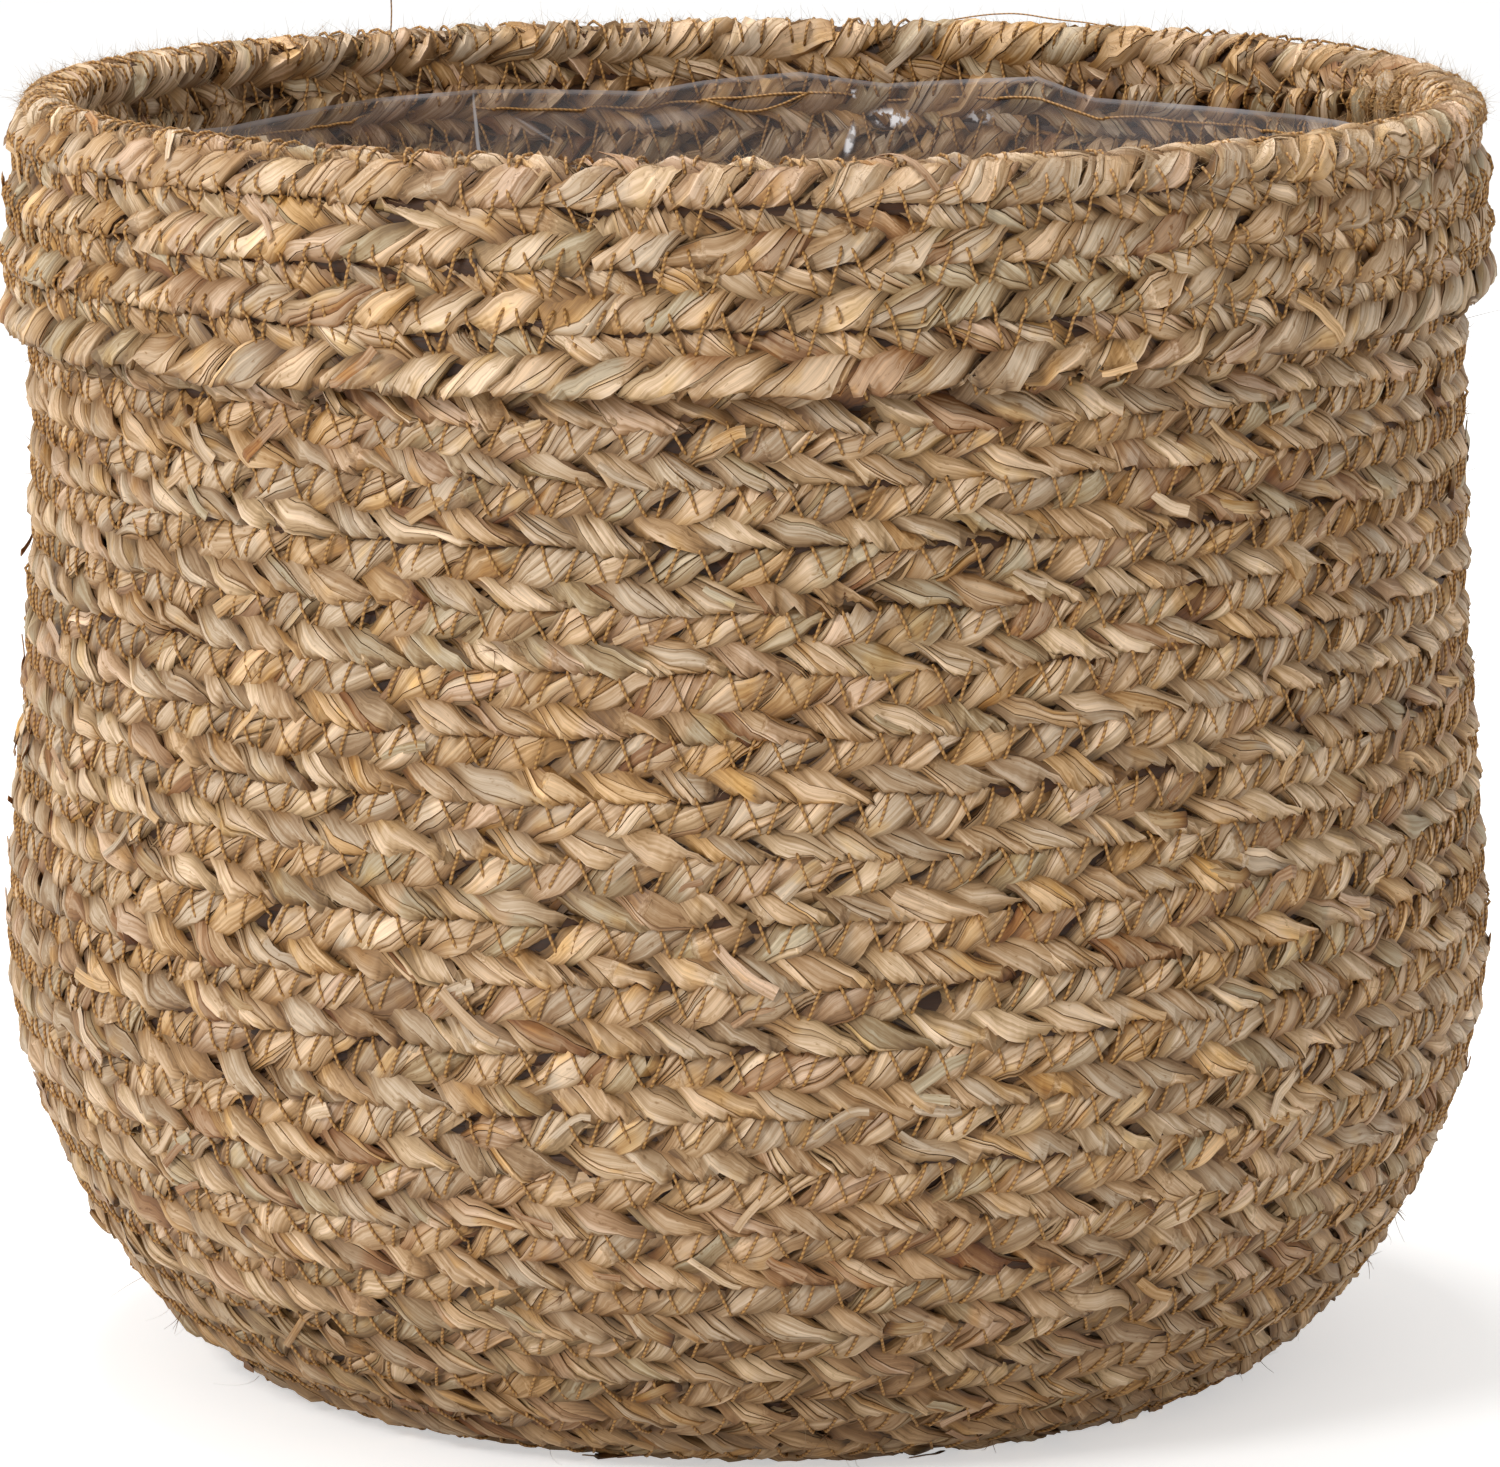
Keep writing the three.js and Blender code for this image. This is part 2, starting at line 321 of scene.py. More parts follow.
# a strand runs behind the plait from one edge to the middle, in front from there to the other edge,
# and folds over that edge to the back. Gives the place across and out, and the strand's own upright
def foldOver(laid):
    edge, lift = plait["edge"], plait["lift"]
    bend = math.pi * lift / 2
    straight = edge - bend
    turns = np.floor((laid + edge) / (2 * edge))
    flip = 1 - 2 * (turns % 2)
    local = laid - 2 * edge * turns
    rise = math.pi / 2 * np.clip(local / straight, -1, 1)
    lean = np.arctan(lift * math.pi / 2 / straight * np.cos(rise))
    past = np.clip((np.abs(local) - straight) / bend, 0, 1) * math.pi / 2
    across = np.clip(local, -straight, straight) + np.sign(local) * lift * np.sin(past)
    across = flip * across * plait["spread"]
    across = across - plait["sag"] * np.cos(math.pi / 2 * np.clip(across / (pitch / 2), -1, 1))
    turned = past * np.sin(past)  # stays flat for longer and then turns fast
    uprightAcross = np.where(past > 0, np.sin(turned), -np.sin(lean))
    uprightOut = np.where(past > 0, np.cos(turned), np.cos(lean))
    return across, lift * np.sin(rise) * np.cos(past) ** plait["foldPower"], uprightAcross, flip * uprightOut


# unit oval, points evenly spaced round it; squarer than an ellipse
ovalAngle = np.linspace(0, fullTurn, 1441)
ovalX = np.sign(np.cos(ovalAngle)) * np.abs(np.cos(ovalAngle)) ** plait["squareness"]
ovalY = np.sign(np.sin(ovalAngle)) * np.abs(np.sin(ovalAngle)) ** plait["squareness"]
ovalSteps = np.hypot(np.diff(ovalX) * plait["halfWidth"], np.diff(ovalY) * plait["halfDepth"])
perimeter = ovalSteps.sum()
ovalShare = np.r_[0, np.cumsum(ovalSteps)] / perimeter


ringing = {
    "hidden": (58 * mm, 30 * mm),  # from and to this far below the wall's top the cuff hides the wall
    "fineFrom": 115 * mm,          # and up to this place the base lies on the floor
    "coarse": 0.5,                 # there one ring lies halfway between two kinks
    "fine": (0.33, 0.67),          # and elsewhere two
}


# rings of a strand: at each kink and between, further apart where the cuff or the floor hides them
def ringPlaces(strand):
    kinks = kinkTables[strand]
    kinks = kinks[(kinks > 0) & (kinks < lengthTable[-1] - 4 * mm)]
    gaps = np.diff(kinks)
    s = tailPlace - backAt(kinks[:-1]) * pitch
    below = profile["wallTop"] - s
    hidden = (below < ringing["hidden"][0]) & (below > ringing["hidden"][1])
    fine = ~hidden & (s > ringing["fineFrom"])
    one = np.where(fine, ringing["fine"][0], ringing["coarse"])
    places = [kinks, kinks[:-1] + one * gaps, (kinks[:-1] + ringing["fine"][1] * gaps)[fine]]
    return np.sort(np.concatenate(places))


leaf = {
    "widths": 1.7,                # how unlike the widths of a strand's leaves are
    "widthRun": 38 * mm,          # and the distance over which they change
    "sway": 0.16,                 # turns of the leaves round the strand, to and fro
    "swayRun": 34 * mm,
    "jerk": 0.03,
    "jerkRun": 9 * mm,
    "bundleRun": 55 * mm,         # a strand changes its tone after about this far
    "leafRun": 100 * mm,          # and a leaf ends, and another takes its place
    "oddShare": 0.26,             # leaves with quite their own tone
    "ownTone": 0.2,               # how much of its own tone every other leaf has
    "light": (0.85, 1.12),
    "flicker": 0.06,
    "flickerRun": 11 * mm,
    "tilt": 0.32,                 # mm that one edge stands above the other, half of it
    "level": (-0.12, 0.32),       # mm above the strand's oval
    "crease": (-0.10, 0.55),      # mm that the leaf's middle stands above its edges
    "creaseWidth": 3 * mm,        # a leaf this wide has its full crease
    "ruffle": 0.20 * mm,
    "ruffleRun": 9 * mm,
    "groove": (0.22, 0.5),        # mm between two leaves: how deep, and how much that changes
    "grooveRun": 21 * mm,
    "grooveWidth": 0.10 * mm,
    "grooveLight": (0.36, 0.20),  # light in a groove, and how much less with each mm of depth
    "edgeLight": (0.94, 0.22),    # light on a leaf's edge, and more with each mm above its neighbour
    "edgeLights": (0.6, 1.06),    # the least and the most of it
    "cornerShares": (0, 0.12, 0.5, 0.88),  # places of its corners on the bake map
}


# a whole strand: rings of leaf edges with their places, tones and grain
def buildStrand(strand):
    length = ringPlaces(strand)
    phase, laid = strandPath(length, strand)
    leaves = plait["leaves"]
    seed = 100 * (strand + 1)
    rng = np.random.default_rng(seed + 50)
    weights = np.exp([leaf["widths"] * drift(length, leaf["widthRun"], seed + j) for j in range(leaves)])
    weights /= weights.sum(0)
    starts = np.cumsum(weights, 0) - weights
    turn = plait["twist"] * length + leaf["sway"] * drift(length, leaf["swayRun"], seed + 20)
    turn = turn + leaf["jerk"] * drift(length, leaf["jerkRun"], seed + 21, True)

    def sections(gap):  # breaks at random places, and the section each ring is in
        breaks = np.cumsum(rng.uniform(0.5 * gap, 1.5 * gap, int(length[-1] / gap) + 10))
        return np.searchsorted(breaks, length), len(breaks) + 1

    def ruffle(number):
        return leaf["ruffle"] * drift(length, leaf["ruffleRun"], seed + number, True)

    def edgeLight(height, beside):
        middle, more = leaf["edgeLight"]
        return np.clip(middle + more * (height - beside) / mm, *leaf["edgeLights"])

    which, draws = sections(leaf["bundleRun"])
    bundleTone = palette[rng.choice(len(palette), draws, p=paletteShares)][which]
    leafEdges = []
    for j in range(leaves):
        which, draws = sections(leaf["leafRun"])
        ownTone = palette[rng.choice(len(palette), draws, p=paletteShares)][which]
        own = (rng.uniform(0, 1, draws) < leaf["oddShare"])[which][:, None]
        light = rng.uniform(*leaf["light"], draws)[which]
        light = light * (1 + leaf["flicker"] * drift(length, leaf["flickerRun"], seed + 60 + j))
        mixed = (1 - leaf["ownTone"]) * bundleTone + leaf["ownTone"] * ownTone
        tone = np.where(own, ownTone, mixed) * light[:, None]
        tilt = rng.uniform(-leaf["tilt"], leaf["tilt"], draws)[which] * mm
        level = rng.uniform(*leaf["level"], draws)[which] * mm
        crease = rng.uniform(*leaf["crease"], draws)[which] * mm
        left = level + tilt + ruffle(30 + j)
        right = level - tilt + ruffle(40 + j)
        top = (left + right) / 2 + crease * np.clip(weights[j] * perimeter / leaf["creaseWidth"], 0.2, 1.2)
        leafEdges.append((left, right, top, tone, which))

    places, heights, tones, shades, grains = [], [], [], [], []
    for j in range(leaves):
        left, right, top, tone, which = leafEdges[j]
        before, after = leafEdges[j - 1][1], leafEdges[(j + 1) % leaves][0]
        deep, change = leaf["groove"]
        groove = np.clip(deep + change * drift(length, leaf["grooveRun"], seed + 80 + j), 0.05, 1) * mm
        width = weights[j] * perimeter
        trim = np.clip(leaf["grooveWidth"] / width, 0.01, 0.3)
        grooveLight = leaf["grooveLight"][0] - leaf["grooveLight"][1] * groove / mm
        spots = [
            (0 * trim, np.minimum(left, before) - groove, grooveLight),
            (trim, left, edgeLight(left, before)),
            (0.5 + 0 * trim, top, 1 + 0 * left),
            (1 - trim, right, edgeLight(right, after)),
        ]
        for share, height, shade in spots:
            places.append(starts[j] + share * weights[j] + turn)
            heights.append(height)
            tones.append(tone)
            shades.append(shade)
            ownGrain = [share * width / mm + 9.3 * j, length / mm, which * 3.7 + 31.0 * strand]
            grains.append(np.stack(ownGrain, -1))
    places = np.stack(places, 1) % 1.0
    heights, tones = np.stack(heights, 1), np.stack(tones, 1)
    shades, grains = np.stack(shades, 1), np.stack(grains, 1)

    x, y = np.interp(places, ovalShare, ovalX), np.interp(places, ovalShare, ovalY)
    pinch = 1 - plait["pinch"] * np.cos(4 * phase)
    flat = pinch * (1 - plait["flatFold"] * np.sin(phase) ** 4)
    wider, deeper = (
        1 + most * drift(length, plait["swellRun"], seed + 70 + i) for i, most in enumerate(plait["swell"])
    )
    halfWidth = (plait["halfWidth"] * pinch * wider)[:, None]
    halfDepth = (plait["halfDepth"] * flat * deeper)[:, None]
    leanX, leanY = x * plait["halfDepth"], y * plait["halfWidth"]
    norm = np.hypot(leanX, leanY)
    sideways = x * halfWidth + heights * leanX / norm
    upward = y * halfDepth + heights * leanY / norm
    roll = plait["roll"] * drift(length, plait["rollRun"], seed + 72)[:, None]
    sideways, upward = sideways - roll * upward, upward + roll * sideways

    slope = np.gradient(laid, length)
    slope = np.convolve(np.pad(slope, 1, "edge"), (0.25, 0.5, 0.25), "valid")[:, None]
    wide = np.hypot(1, slope)
    skew = plait["skew"] * drift(length, plait["skewRun"], seed + 90)[:, None]
    along = length[:, None] + sideways * (skew - slope / wide)
    across, out, uprightAcross, uprightOut = foldOver(laid[:, None] + sideways / wide)
    loose = 1 + plait["loosen"] * drift(length, plait["loosenRun"], seed + 73)
    across = (across + upward * uprightAcross) * loose[:, None]
    across = across + plait["stray"] * drift(length, plait["strayRun"], seed + 74)[:, None]
    out = out + upward * uprightOut
    dark, lit = plait["litFrom"]
    exposed = np.clip((np.abs(out) - dark) / (lit - dark), 0, 1) * (1 - plait["edgeShade"] * np.abs(x) ** 6)
    return {
        "length": length,
        "points": onBasket(backAt(along), across, out - plait["tilt"] * across),
        "tone": tones,
        "shade": shades * (plait["deepShade"] + (1 - plait["deepShade"]) * exposed),
        "grain": grains,
    }


# faces of a tube of rings, with an end cap at each end
def tubeFaces(count, sides):
    i = np.arange(count - 1)[:, None] * sides
    j = np.arange(sides)[None, :]
    k = (j + 1) % sides
    quads = np.stack([i + j, i + k, i + sides + k, i + sides + j], -1).reshape(-1, 4)
    return quads, [np.arange(sides)[::-1], np.arange(sides) + (count - 1) * sides]


# a closed mesh part from rings of points, with the values that its material reads
def tubePart(rings, **values):
    count, sides = rings.shape[:2]
    quads, caps = tubeFaces(count, sides)
    part = {"points": rings.reshape(-1, 3), "sides": sides, "quads": quads, "caps": caps}
    for key, value in values.items():
        shape = (count, sides) if key == "shade" else (count, sides, 3)
        part[key] = np.broadcast_to(value, shape).reshape(count * sides, -1)
    return part


# the part of a built strand between two distances; shares are its corners' places round the bake map
def cutStrand(strand, first, last):
    low = max(0, np.searchsorted(strand["length"], first) - 1)
    high = min(len(strand["length"]), np.searchsorted(strand["length"], last))
    values = {key: strand[key][low:high] for key in ("tone", "shade", "grain")}
    part = tubePart(strand["points"][low:high], **values)
    leaves = plait["leaves"]
    corners = np.arange(leaves)[:, None] + leaf["cornerShares"]
    part["shares"] = np.r_[corners.ravel(), leaves] / leaves
    return part


bake = {
    "joint": 0.02 * mm,           # added to each step, so that none is nothing
    "gap": (0.15, 1.5 * mm),      # between tubes: share of the widest girth, and at most
    "rowMargin": 0.04,
    "capBand": 0.06,              # strip of the square for the end caps
    "capFill": 0.8,               # of that strip
    "capRadius": 0.4,             # of its cell
    "rowSpare": 1.0001,           # so that the last tube still fits its row
}


# lays the tubes of a piece out in rows on a square, for baking: each face gets its own place
def bakeMap(parts):
    steps, girth = [], 0.0
    for part in parts:
        rings = part["points"].reshape(part.get("tubes", 1), -1, part["sides"], 3)
        steps.append(np.linalg.norm(np.diff(rings, axis=1), axis=-1).mean(-1) + bake["joint"])
        around = np.linalg.norm(rings - np.roll(rings, 1, axis=2), axis=-1).sum(-1).mean()
        girth = max(girth, around)
    gap = min(bake["gap"][0] * girth, bake["gap"][1])
    jumps = [np.c_[np.full(len(step), gap), step] for step in steps]
    ends = np.cumsum(np.concatenate([jump.ravel() for jump in jumps]))
    rowCount = max(1, round(math.sqrt(ends[-1] / girth)))
    rowLength = ends[-1] / rowCount * bake["rowSpare"]
    rowSpan = rowLength + max(step.max() for step in steps) + gap
    margin, capBand = bake["rowMargin"], bake["capBand"]
    corners, used = [], 0
    rowStarts = {}
    for part, step, jump in zip(parts, steps, jumps):
        last = ends[used:used + jump.size].reshape(jump.shape)[:, 1:]
        used += jump.size
        first = last - step
        row = np.floor(first / rowLength)
        for number in np.unique(row):
            rowStarts.setdefault(number, first[row == number].min())
        offset = np.vectorize(rowStarts.get)(row)
        u0, u1 = (first - offset) / rowSpan, (last - offset) / rowSpan
        share = np.asarray(part.get("shares", np.linspace(0, 1, part["sides"] + 1)))
        v = (row[..., None] + margin + (1 - 2 * margin) * share) / rowCount * (1 - capBand)
        low, high = v[..., :-1], v[..., 1:]
        u0, u1 = u0[..., None] + 0 * low, u1[..., None] + 0 * low
        corners.append(np.stack([u0, low, u0, high, u1, high, u1, low], -1).reshape(-1, 2))
    caps = [len(cap) for part in parts for cap in part["caps"]]
    cell = min(capBand, math.sqrt(bake["capFill"] * capBand / max(1, len(caps))))
    perRow = int(1 / cell)
    for number, count in enumerate(caps):
        angle = fullTurn * np.arange(count) / count
        centre = ((number % perRow + 0.5) * cell, 1 - capBand + (number // perRow + 0.5) * cell)
        corners.append(np.c_[np.cos(angle), np.sin(angle)] * bake["capRadius"] * cell + centre)
    return np.concatenate(corners)


# joins mesh parts into one object, with their attributes
def makeObject(name, parts, material, sharpAngle):
    offsets = np.cumsum([0] + [len(part["points"]) for part in parts])
    points = np.vstack([part["points"] for part in parts])
    points[:, 2] = np.maximum(points[:, 2], 0)
    quads = np.vstack([part["quads"] + offset for part, offset in zip(parts, offsets)])
    caps = [cap + offset for part, offset in zip(parts, offsets) for cap in part["caps"]]
    sizes = np.r_[np.full(len(quads), 4), [len(cap) for cap in caps]].astype(np.int32)
    corners = np.concatenate([quads.ravel()] + caps).astype(np.int32)
    mesh = bpy.data.meshes.new(name)
    mesh.vertices.add(len(points))
    mesh.vertices.foreach_set("co", points.astype(np.float32).ravel())
    mesh.loops.add(len(corners))
    mesh.loops.foreach_set("vertex_index", corners)
    mesh.polygons.add(len(sizes))
    mesh.polygons.foreach_set("loop_start", np.r_[0, np.cumsum(sizes)[:-1]].astype(np.int32))
    mesh.polygons.foreach_set("use_smooth", np.ones(len(sizes), bool))
    kinds = {
        "tone": ("FLOAT_COLOR", "color"),
        "shade": ("FLOAT", "value"),
        "grain": ("FLOAT_VECTOR", "vector"),
    }
    for key, (kind, field) in kinds.items():
        if key in parts[0]:
            values = np.concatenate([part[key].reshape(len(part["points"]), -1) for part in parts])
            if key == "tone":
                values = np.c_[values, np.ones(len(values))]
            made = mesh.attributes.new(key, kind, "POINT")
            made.data.foreach_set(field, values.astype(np.float32).ravel())
    mesh.uv_layers.new(name="OFBake").data.foreach_set("uv", bakeMap(parts).astype(np.float32).ravel())
    mesh.update(calc_edges=True)
    if sharpAngle:
        mesh.set_sharp_from_angle(angle=sharpAngle)
    mesh.materials.append(material)
    made = bpy.data.objects.new(name, mesh)
    bpy.context.scene.collection.objects.link(made)
    return made


coverings = {}  # the material and the slot of each node's pieces


def addPiece(name, parts, node, sharpAngle=None):
    material, slotName = coverings[node]
    piece = makeObject(name, parts, material, sharpAngle)
    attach(piece, "root")
    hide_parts(node)
    return piece


def newMaterial(name):
    made = bpy.data.materials.new(name)
    made.use_nodes = True
    return made, made.node_tree, made.node_tree.nodes["Principled BSDF"]


def addNode(tree, kind, place=(0, 0), **values):
    made = tree.nodes.new(kind)
    made.location = place
    for key, value in values.items():
        setattr(made, key, value)
    return made


def addRemap(tree, value, fromLow, fromHigh, low, high, place, way="LINEAR"):
    made = addNode(tree, "ShaderNodeMapRange", place, interpolation_type=way)
    for key, number in (("From Min", fromLow), ("From Max", fromHigh), ("To Min", low), ("To Max", high)):
        made.inputs[key].default_value = number
    tree.links.new(value, made.inputs["Value"])
    return made.outputs["Result"]


def addMaths(tree, operation, first, second, place):
    made = addNode(tree, "ShaderNodeMath", place, operation=operation)
    for socket, value in zip(made.inputs, (first, second)):
        if isinstance(value, (int, float)):
            socket.default_value = value
        elif value is not None:
            tree.links.new(value, socket)
    return made.outputs[0]


# noise stretched along a leaf or a film, from its own distances in mm
def addNoise(tree, grain, scale, detail, place):
    stretch = addNode(tree, "ShaderNodeVectorMath", (place[0] - 200, place[1]), operation="MULTIPLY")
    stretch.inputs[1].default_value = scale
    noise = addNode(tree, "ShaderNodeTexNoise", place)
    noise.inputs["Scale"].default_value = 1
    noise.inputs["Detail"].default_value = detail
    tree.links.new(grain, stretch.inputs[0])
    tree.links.new(stretch.outputs[0], noise.inputs["Vector"])
    return noise.outputs["Fac"]


def addBump(tree, shader, height, strength, distance, place):
    bump = addNode(tree, "ShaderNodeBump", place)
    bump.inputs["Strength"].default_value = strength
    bump.inputs["Distance"].default_value = distance
    tree.links.new(height, bump.inputs["Height"])
    tree.links.new(bump.outputs["Normal"], shader.inputs["Normal"])


def newGroup(name, inputs, outputs):
    group = bpy.data.node_groups.new(name, "ShaderNodeTree")
    for way, kinds in (("INPUT", inputs), ("OUTPUT", outputs)):
        for socket, kind in kinds.items():
            group.interface.new_socket(socket, in_out=way, socket_type="NodeSocket" + kind)
    return group, addNode(group, "NodeGroupInput", (-1200, 0)), addNode(group, "NodeGroupOutput", (1100, 0))


leafMarks = {
    # noise scale across a leaf, along it and from leaf to leaf, its detail, the range used, and its light
    "fine": ((1.7, 0.05, 0.7), 4, (0.25, 0.75), (0.56, 1.30)),
    "broad": ((0.55, 0.03, 0.9), 2, (0.25, 0.75), (0.84, 1.12)),
    "fleck": ((1.3, 0.45, 0.5), 2, (0.64, 0.74), (1.0, 0.62)),
    "cloudy": ((0.10, 0.05, 0.4), 1, (0.3, 0.7), (0.88, 1.08)),
}
leafVeins = {"scale": (0.9, 0.025, 0.6), "detail": 1, "width": 0.03, "light": 0.80}
leafStain = {"scale": (0.16, 0.07, 0.3), "detail": 2, "range": (0.58, 0.72)}
# darker places, mostly darkened by painted shade, are browner, as light bounced between leaves would make
# them: the power of green and blue in the dark, and what a stain adds to it
shadeAndStainBrowning = {"Green": (1.5, 0.22), "Blue": (1.85, 0.5)}
leafDark = (0.2, 0.85)  # light that is fully browned, and light that isn't
# bumps here and below are their strength and their height
leafFinish = {"roughness": (0.44, 0.70), "bump": (0.8, 0.22 * mm), "specular": 0.4}


# fine lines along a leaf, blotches and flecks, from its own across and along distances
def makeFibreGroup():
    group, enter, leave = newGroup(
        "leafFibres",
        {"Grain": "Vector", "Tone": "Color", "Shade": "Float", "LowDarkening": "Float"},
        {"Color": "Color", "Height": "Float", "Roughness": "Float"},
    )
    link = group.links.new
    grain = enter.outputs["Grain"]
    light, marks = None, {}
    for row, (name, (scale, detail, used, lights)) in enumerate(leafMarks.items()):
        y = 300 - 300 * row
        marks[name] = addNoise(group, grain, scale, detail, (-900, y))
        lit = addRemap(group, marks[name], *used, *lights, (-650, y))
        light = lit if light is None else addMaths(group, "MULTIPLY", light, lit, (-500 + 100 * row, y))
    veins = addNoise(group, grain, leafVeins["scale"], leafVeins["detail"], (-900, -900))
    veins = addMaths(group, "SUBTRACT", veins, 0.5, (-700, -900))
    veins = addMaths(group, "ABSOLUTE", veins, None, (-550, -900))
    lit = addRemap(group, veins, 0.0, leafVeins["width"], leafVeins["light"], 1, (-400, -900))
    light = addMaths(group, "MULTIPLY", light, lit, (-50, 65))
    light = addMaths(group, "MULTIPLY", light, enter.outputs["Shade"], (0, 50))
    # the leaf gets darker towards the floor, by height
    light = addMaths(group, "MULTIPLY", light, enter.outputs["LowDarkening"], (150, 0))
    stain = addNoise(group, grain, leafStain["scale"], leafStain["detail"], (-900, -1200))
    stain = addRemap(group, stain, *leafStain["range"], 0, 1, (-650, -1200))
    split = addNode(group, "ShaderNodeSeparateColor", (300, 250))
    join = addNode(group, "ShaderNodeCombineColor", (700, 250))
    link(enter.outputs["Tone"], split.inputs[0])
    link(split.outputs["Red"], join.inputs["Red"])
    # painted bounce light: green and blue fall away faster where the leaf is darker, mostly from its painted
    # shade
    for i, (channel, (inDark, inStain)) in enumerate(shadeAndStainBrowning.items()):
        power = addRemap(group, light, *leafDark, inDark, 1.0, (300, -150 - 200 * i))
        more = addMaths(group, "MULTIPLY", stain, inStain, (200, -900 - 100 * i))
        power = addMaths(group, "ADD", power, more, (400, -150 - 200 * i))
        toned = addMaths(group, "POWER", split.outputs[channel], power, (500, 200 - 150 * i))
        link(toned, join.inputs[channel])
    tint = addNode(group, "ShaderNodeVectorMath", (900, 100), operation="SCALE")
    link(join.outputs[0], tint.inputs[0])
    link(light, tint.inputs["Scale"])
    link(tint.outputs[0], leave.inputs["Color"])
    link(marks["fine"], leave.inputs["Height"])
    rough = addRemap(group, marks["fine"], *leafMarks["fine"][2], *leafFinish["roughness"], (600, -300))
    link(rough, leave.inputs["Roughness"])
    return group


fibreGroup = makeFibreGroup()


# dried grass: leaf tones from the mesh, fibres from the group, darker towards the floor
def makeGrass(name, lowDarkening):
    made, tree, shader = newMaterial(name)
    link = tree.links.new
    tone = addNode(tree, "ShaderNodeAttribute", (-900, 200), attribute_name="tone")
    shade = addNode(tree, "ShaderNodeAttribute", (-900, 0), attribute_name="shade")
    grain = addNode(tree, "ShaderNodeAttribute", (-900, -200), attribute_name="grain")
    place = addNode(tree, "ShaderNodeNewGeometry", (-1100, -400))
    split = addNode(tree, "ShaderNodeSeparateXYZ", (-900, -400))
    link(place.outputs["Position"], split.inputs[0])
    rising = addRemap(tree, split.outputs["Z"], *lowDarkening["heights"], *lowDarkening["light"], (-700, -400), "SMOOTHSTEP")
    fibres = addNode(tree, "ShaderNodeGroup", (-400, 0), node_tree=fibreGroup)
    link(tone.outputs["Color"], fibres.inputs["Tone"])
    link(shade.outputs["Fac"], fibres.inputs["Shade"])
    link(grain.outputs["Vector"], fibres.inputs["Grain"])
    link(rising, fibres.inputs["LowDarkening"])
    link(fibres.outputs["Color"], shader.inputs["Base Color"])
    link(fibres.outputs["Roughness"], shader.inputs["Roughness"])
    addBump(tree, shader, fibres.outputs["Height"], *leafFinish["bump"], (-200, -200))
    shader.inputs["Specular IOR Level"].default_value = leafFinish["specular"]
    return made


# darker towards the floor: the heights between which it fades, in metres, and the light below and above them
lowDarkenings = {
    "wall": {"heights": (-0.005, 0.10), "light": (0.72, 0.98)},
    "cuff": {"heights": (-0.01, 0.0), "light": (1.0, 1.01)},
    "base": {"heights": (-0.01, 0.02), "light": (0.5, 1.0)},
}
for part, lowDarkening in lowDarkenings.items():
    coverings[part + "_plait"] = makeGrass(part + "Grass", lowDarkening), part + "_grass"

strands = [buildStrand(strand) for strand in range(3)]
print("strands built:", [strand["points"].shape for strand in strands])

# bands of packed leaves: one behind each seam, one in the middle of the plait, with a dark tone and low shade
# as painted shadow in the gaps between strands
packing = {
    "seam": {
        "across": pitch / 2, "halfWidth": 3.4 * mm, "halfDepth": 1.1 * mm, "wander": 0.8 * mm, "shade": 0.17,
    },
    "core": {"across": 0, "halfWidth": 5.4 * mm, "halfDepth": 0.5 * mm, "wander": 0.2 * mm, "shade": 0.11},
    "wanderRun": (20 * mm, 24 * mm),  # to the side, and half as much in and out
    "swell": 0.15,
    "swellRun": 30 * mm,
    "step": 9 * mm,
    "sides": 8,
    "tone": (0.36, 0.25, 0.14),
}


# one such band along a stretch of the plait
def packBand(band, firstBack, lastBack, seed):
    first, last = lengthAt(lastBack), lengthAt(firstBack)
    length = np.r_[np.arange(first, last, packing["step"]), last]
    sideRun, outRun = packing["wanderRun"]
    across = band["across"] + band["wander"] * drift(length, sideRun, seed)
    swell = 1 + packing["swell"] * drift(length, packing["swellRun"], seed + 1)
    angle = np.linspace(0, fullTurn, packing["sides"], endpoint=False)
    back = backAt(length)[:, None] + 0 * angle
    side = band["halfWidth"] * np.cos(angle)[None, :] * swell[:, None]
    out = band["halfDepth"] * np.sin(angle)[None, :]
    out = out + 0.5 * band["wander"] * drift(length, outRun, seed + 2)[:, None]
    grain = np.stack(np.broadcast_arrays(side / mm, length[:, None] / mm, seed), -1)
    rings = onBasket(back, across[:, None] + side, out)
    # painted shadow: the band's dark tone and low shade
    return tubePart(rings, grain=grain, tone=packing["tone"], shade=band["shade"])


winding = {
    "basePieces": 4.0,            # turns of the plait in each piece
    "wallPieces": 1.0,
    "cuffPieces": 1.0,
    "leastPiece": 0.3,            # a shorter rest is left on the piece before it
    "tail": 1.0,                  # the cuff's last turn has no seam below it
}


# lays a stretch of the plait down in pieces of a few turns, cut at the back of the basket
def windPlait(name, firstBack, lastBack, loopsPerPiece, node):
    cuts = [firstBack]
    while cuts[-1] - loopsPerPiece > lastBack + winding["leastPiece"]:
        cuts.append(math.ceil(cuts[-1] - loopsPerPiece))
    cuts.append(lastBack)
    for i in range(len(cuts) - 1):
        span = lengthAt(cuts[i + 1]), lengthAt(cuts[i])
        parts = [cutStrand(strand, *span) for strand in strands]
        parts.append(packBand(packing["core"], cuts[i], cuts[i + 1], 950 + i))
        if cuts[i] > winding["tail"]:
            seamEnd = max(cuts[i + 1], winding["tail"])
            parts.append(packBand(packing["seam"], cuts[i], seamEnd, 900 + i))
        addPiece(f"{name}{i + 1:02d}", parts, node, math.radians(plait["sharpEdge"]))


windPlait("basePlait", basket["loops"], wallStart, winding["basePieces"], "base_plait")
windPlait("wallPlait", wallStart, wallEnd, winding["wallPieces"], "wall_plait")
windPlait("cuffPlait", wallEnd, 0.0, winding["cuffPieces"], "cuff_plait")
print("plait wound")

# a strand as the thread and the hairs feel it: a little wider and higher, and by how much they clear it
feltStrand = {"width": 1.04, "height": 1.12, "squareness": 2.6, "clear": 0.12 * mm, "between": -0.2 * mm}


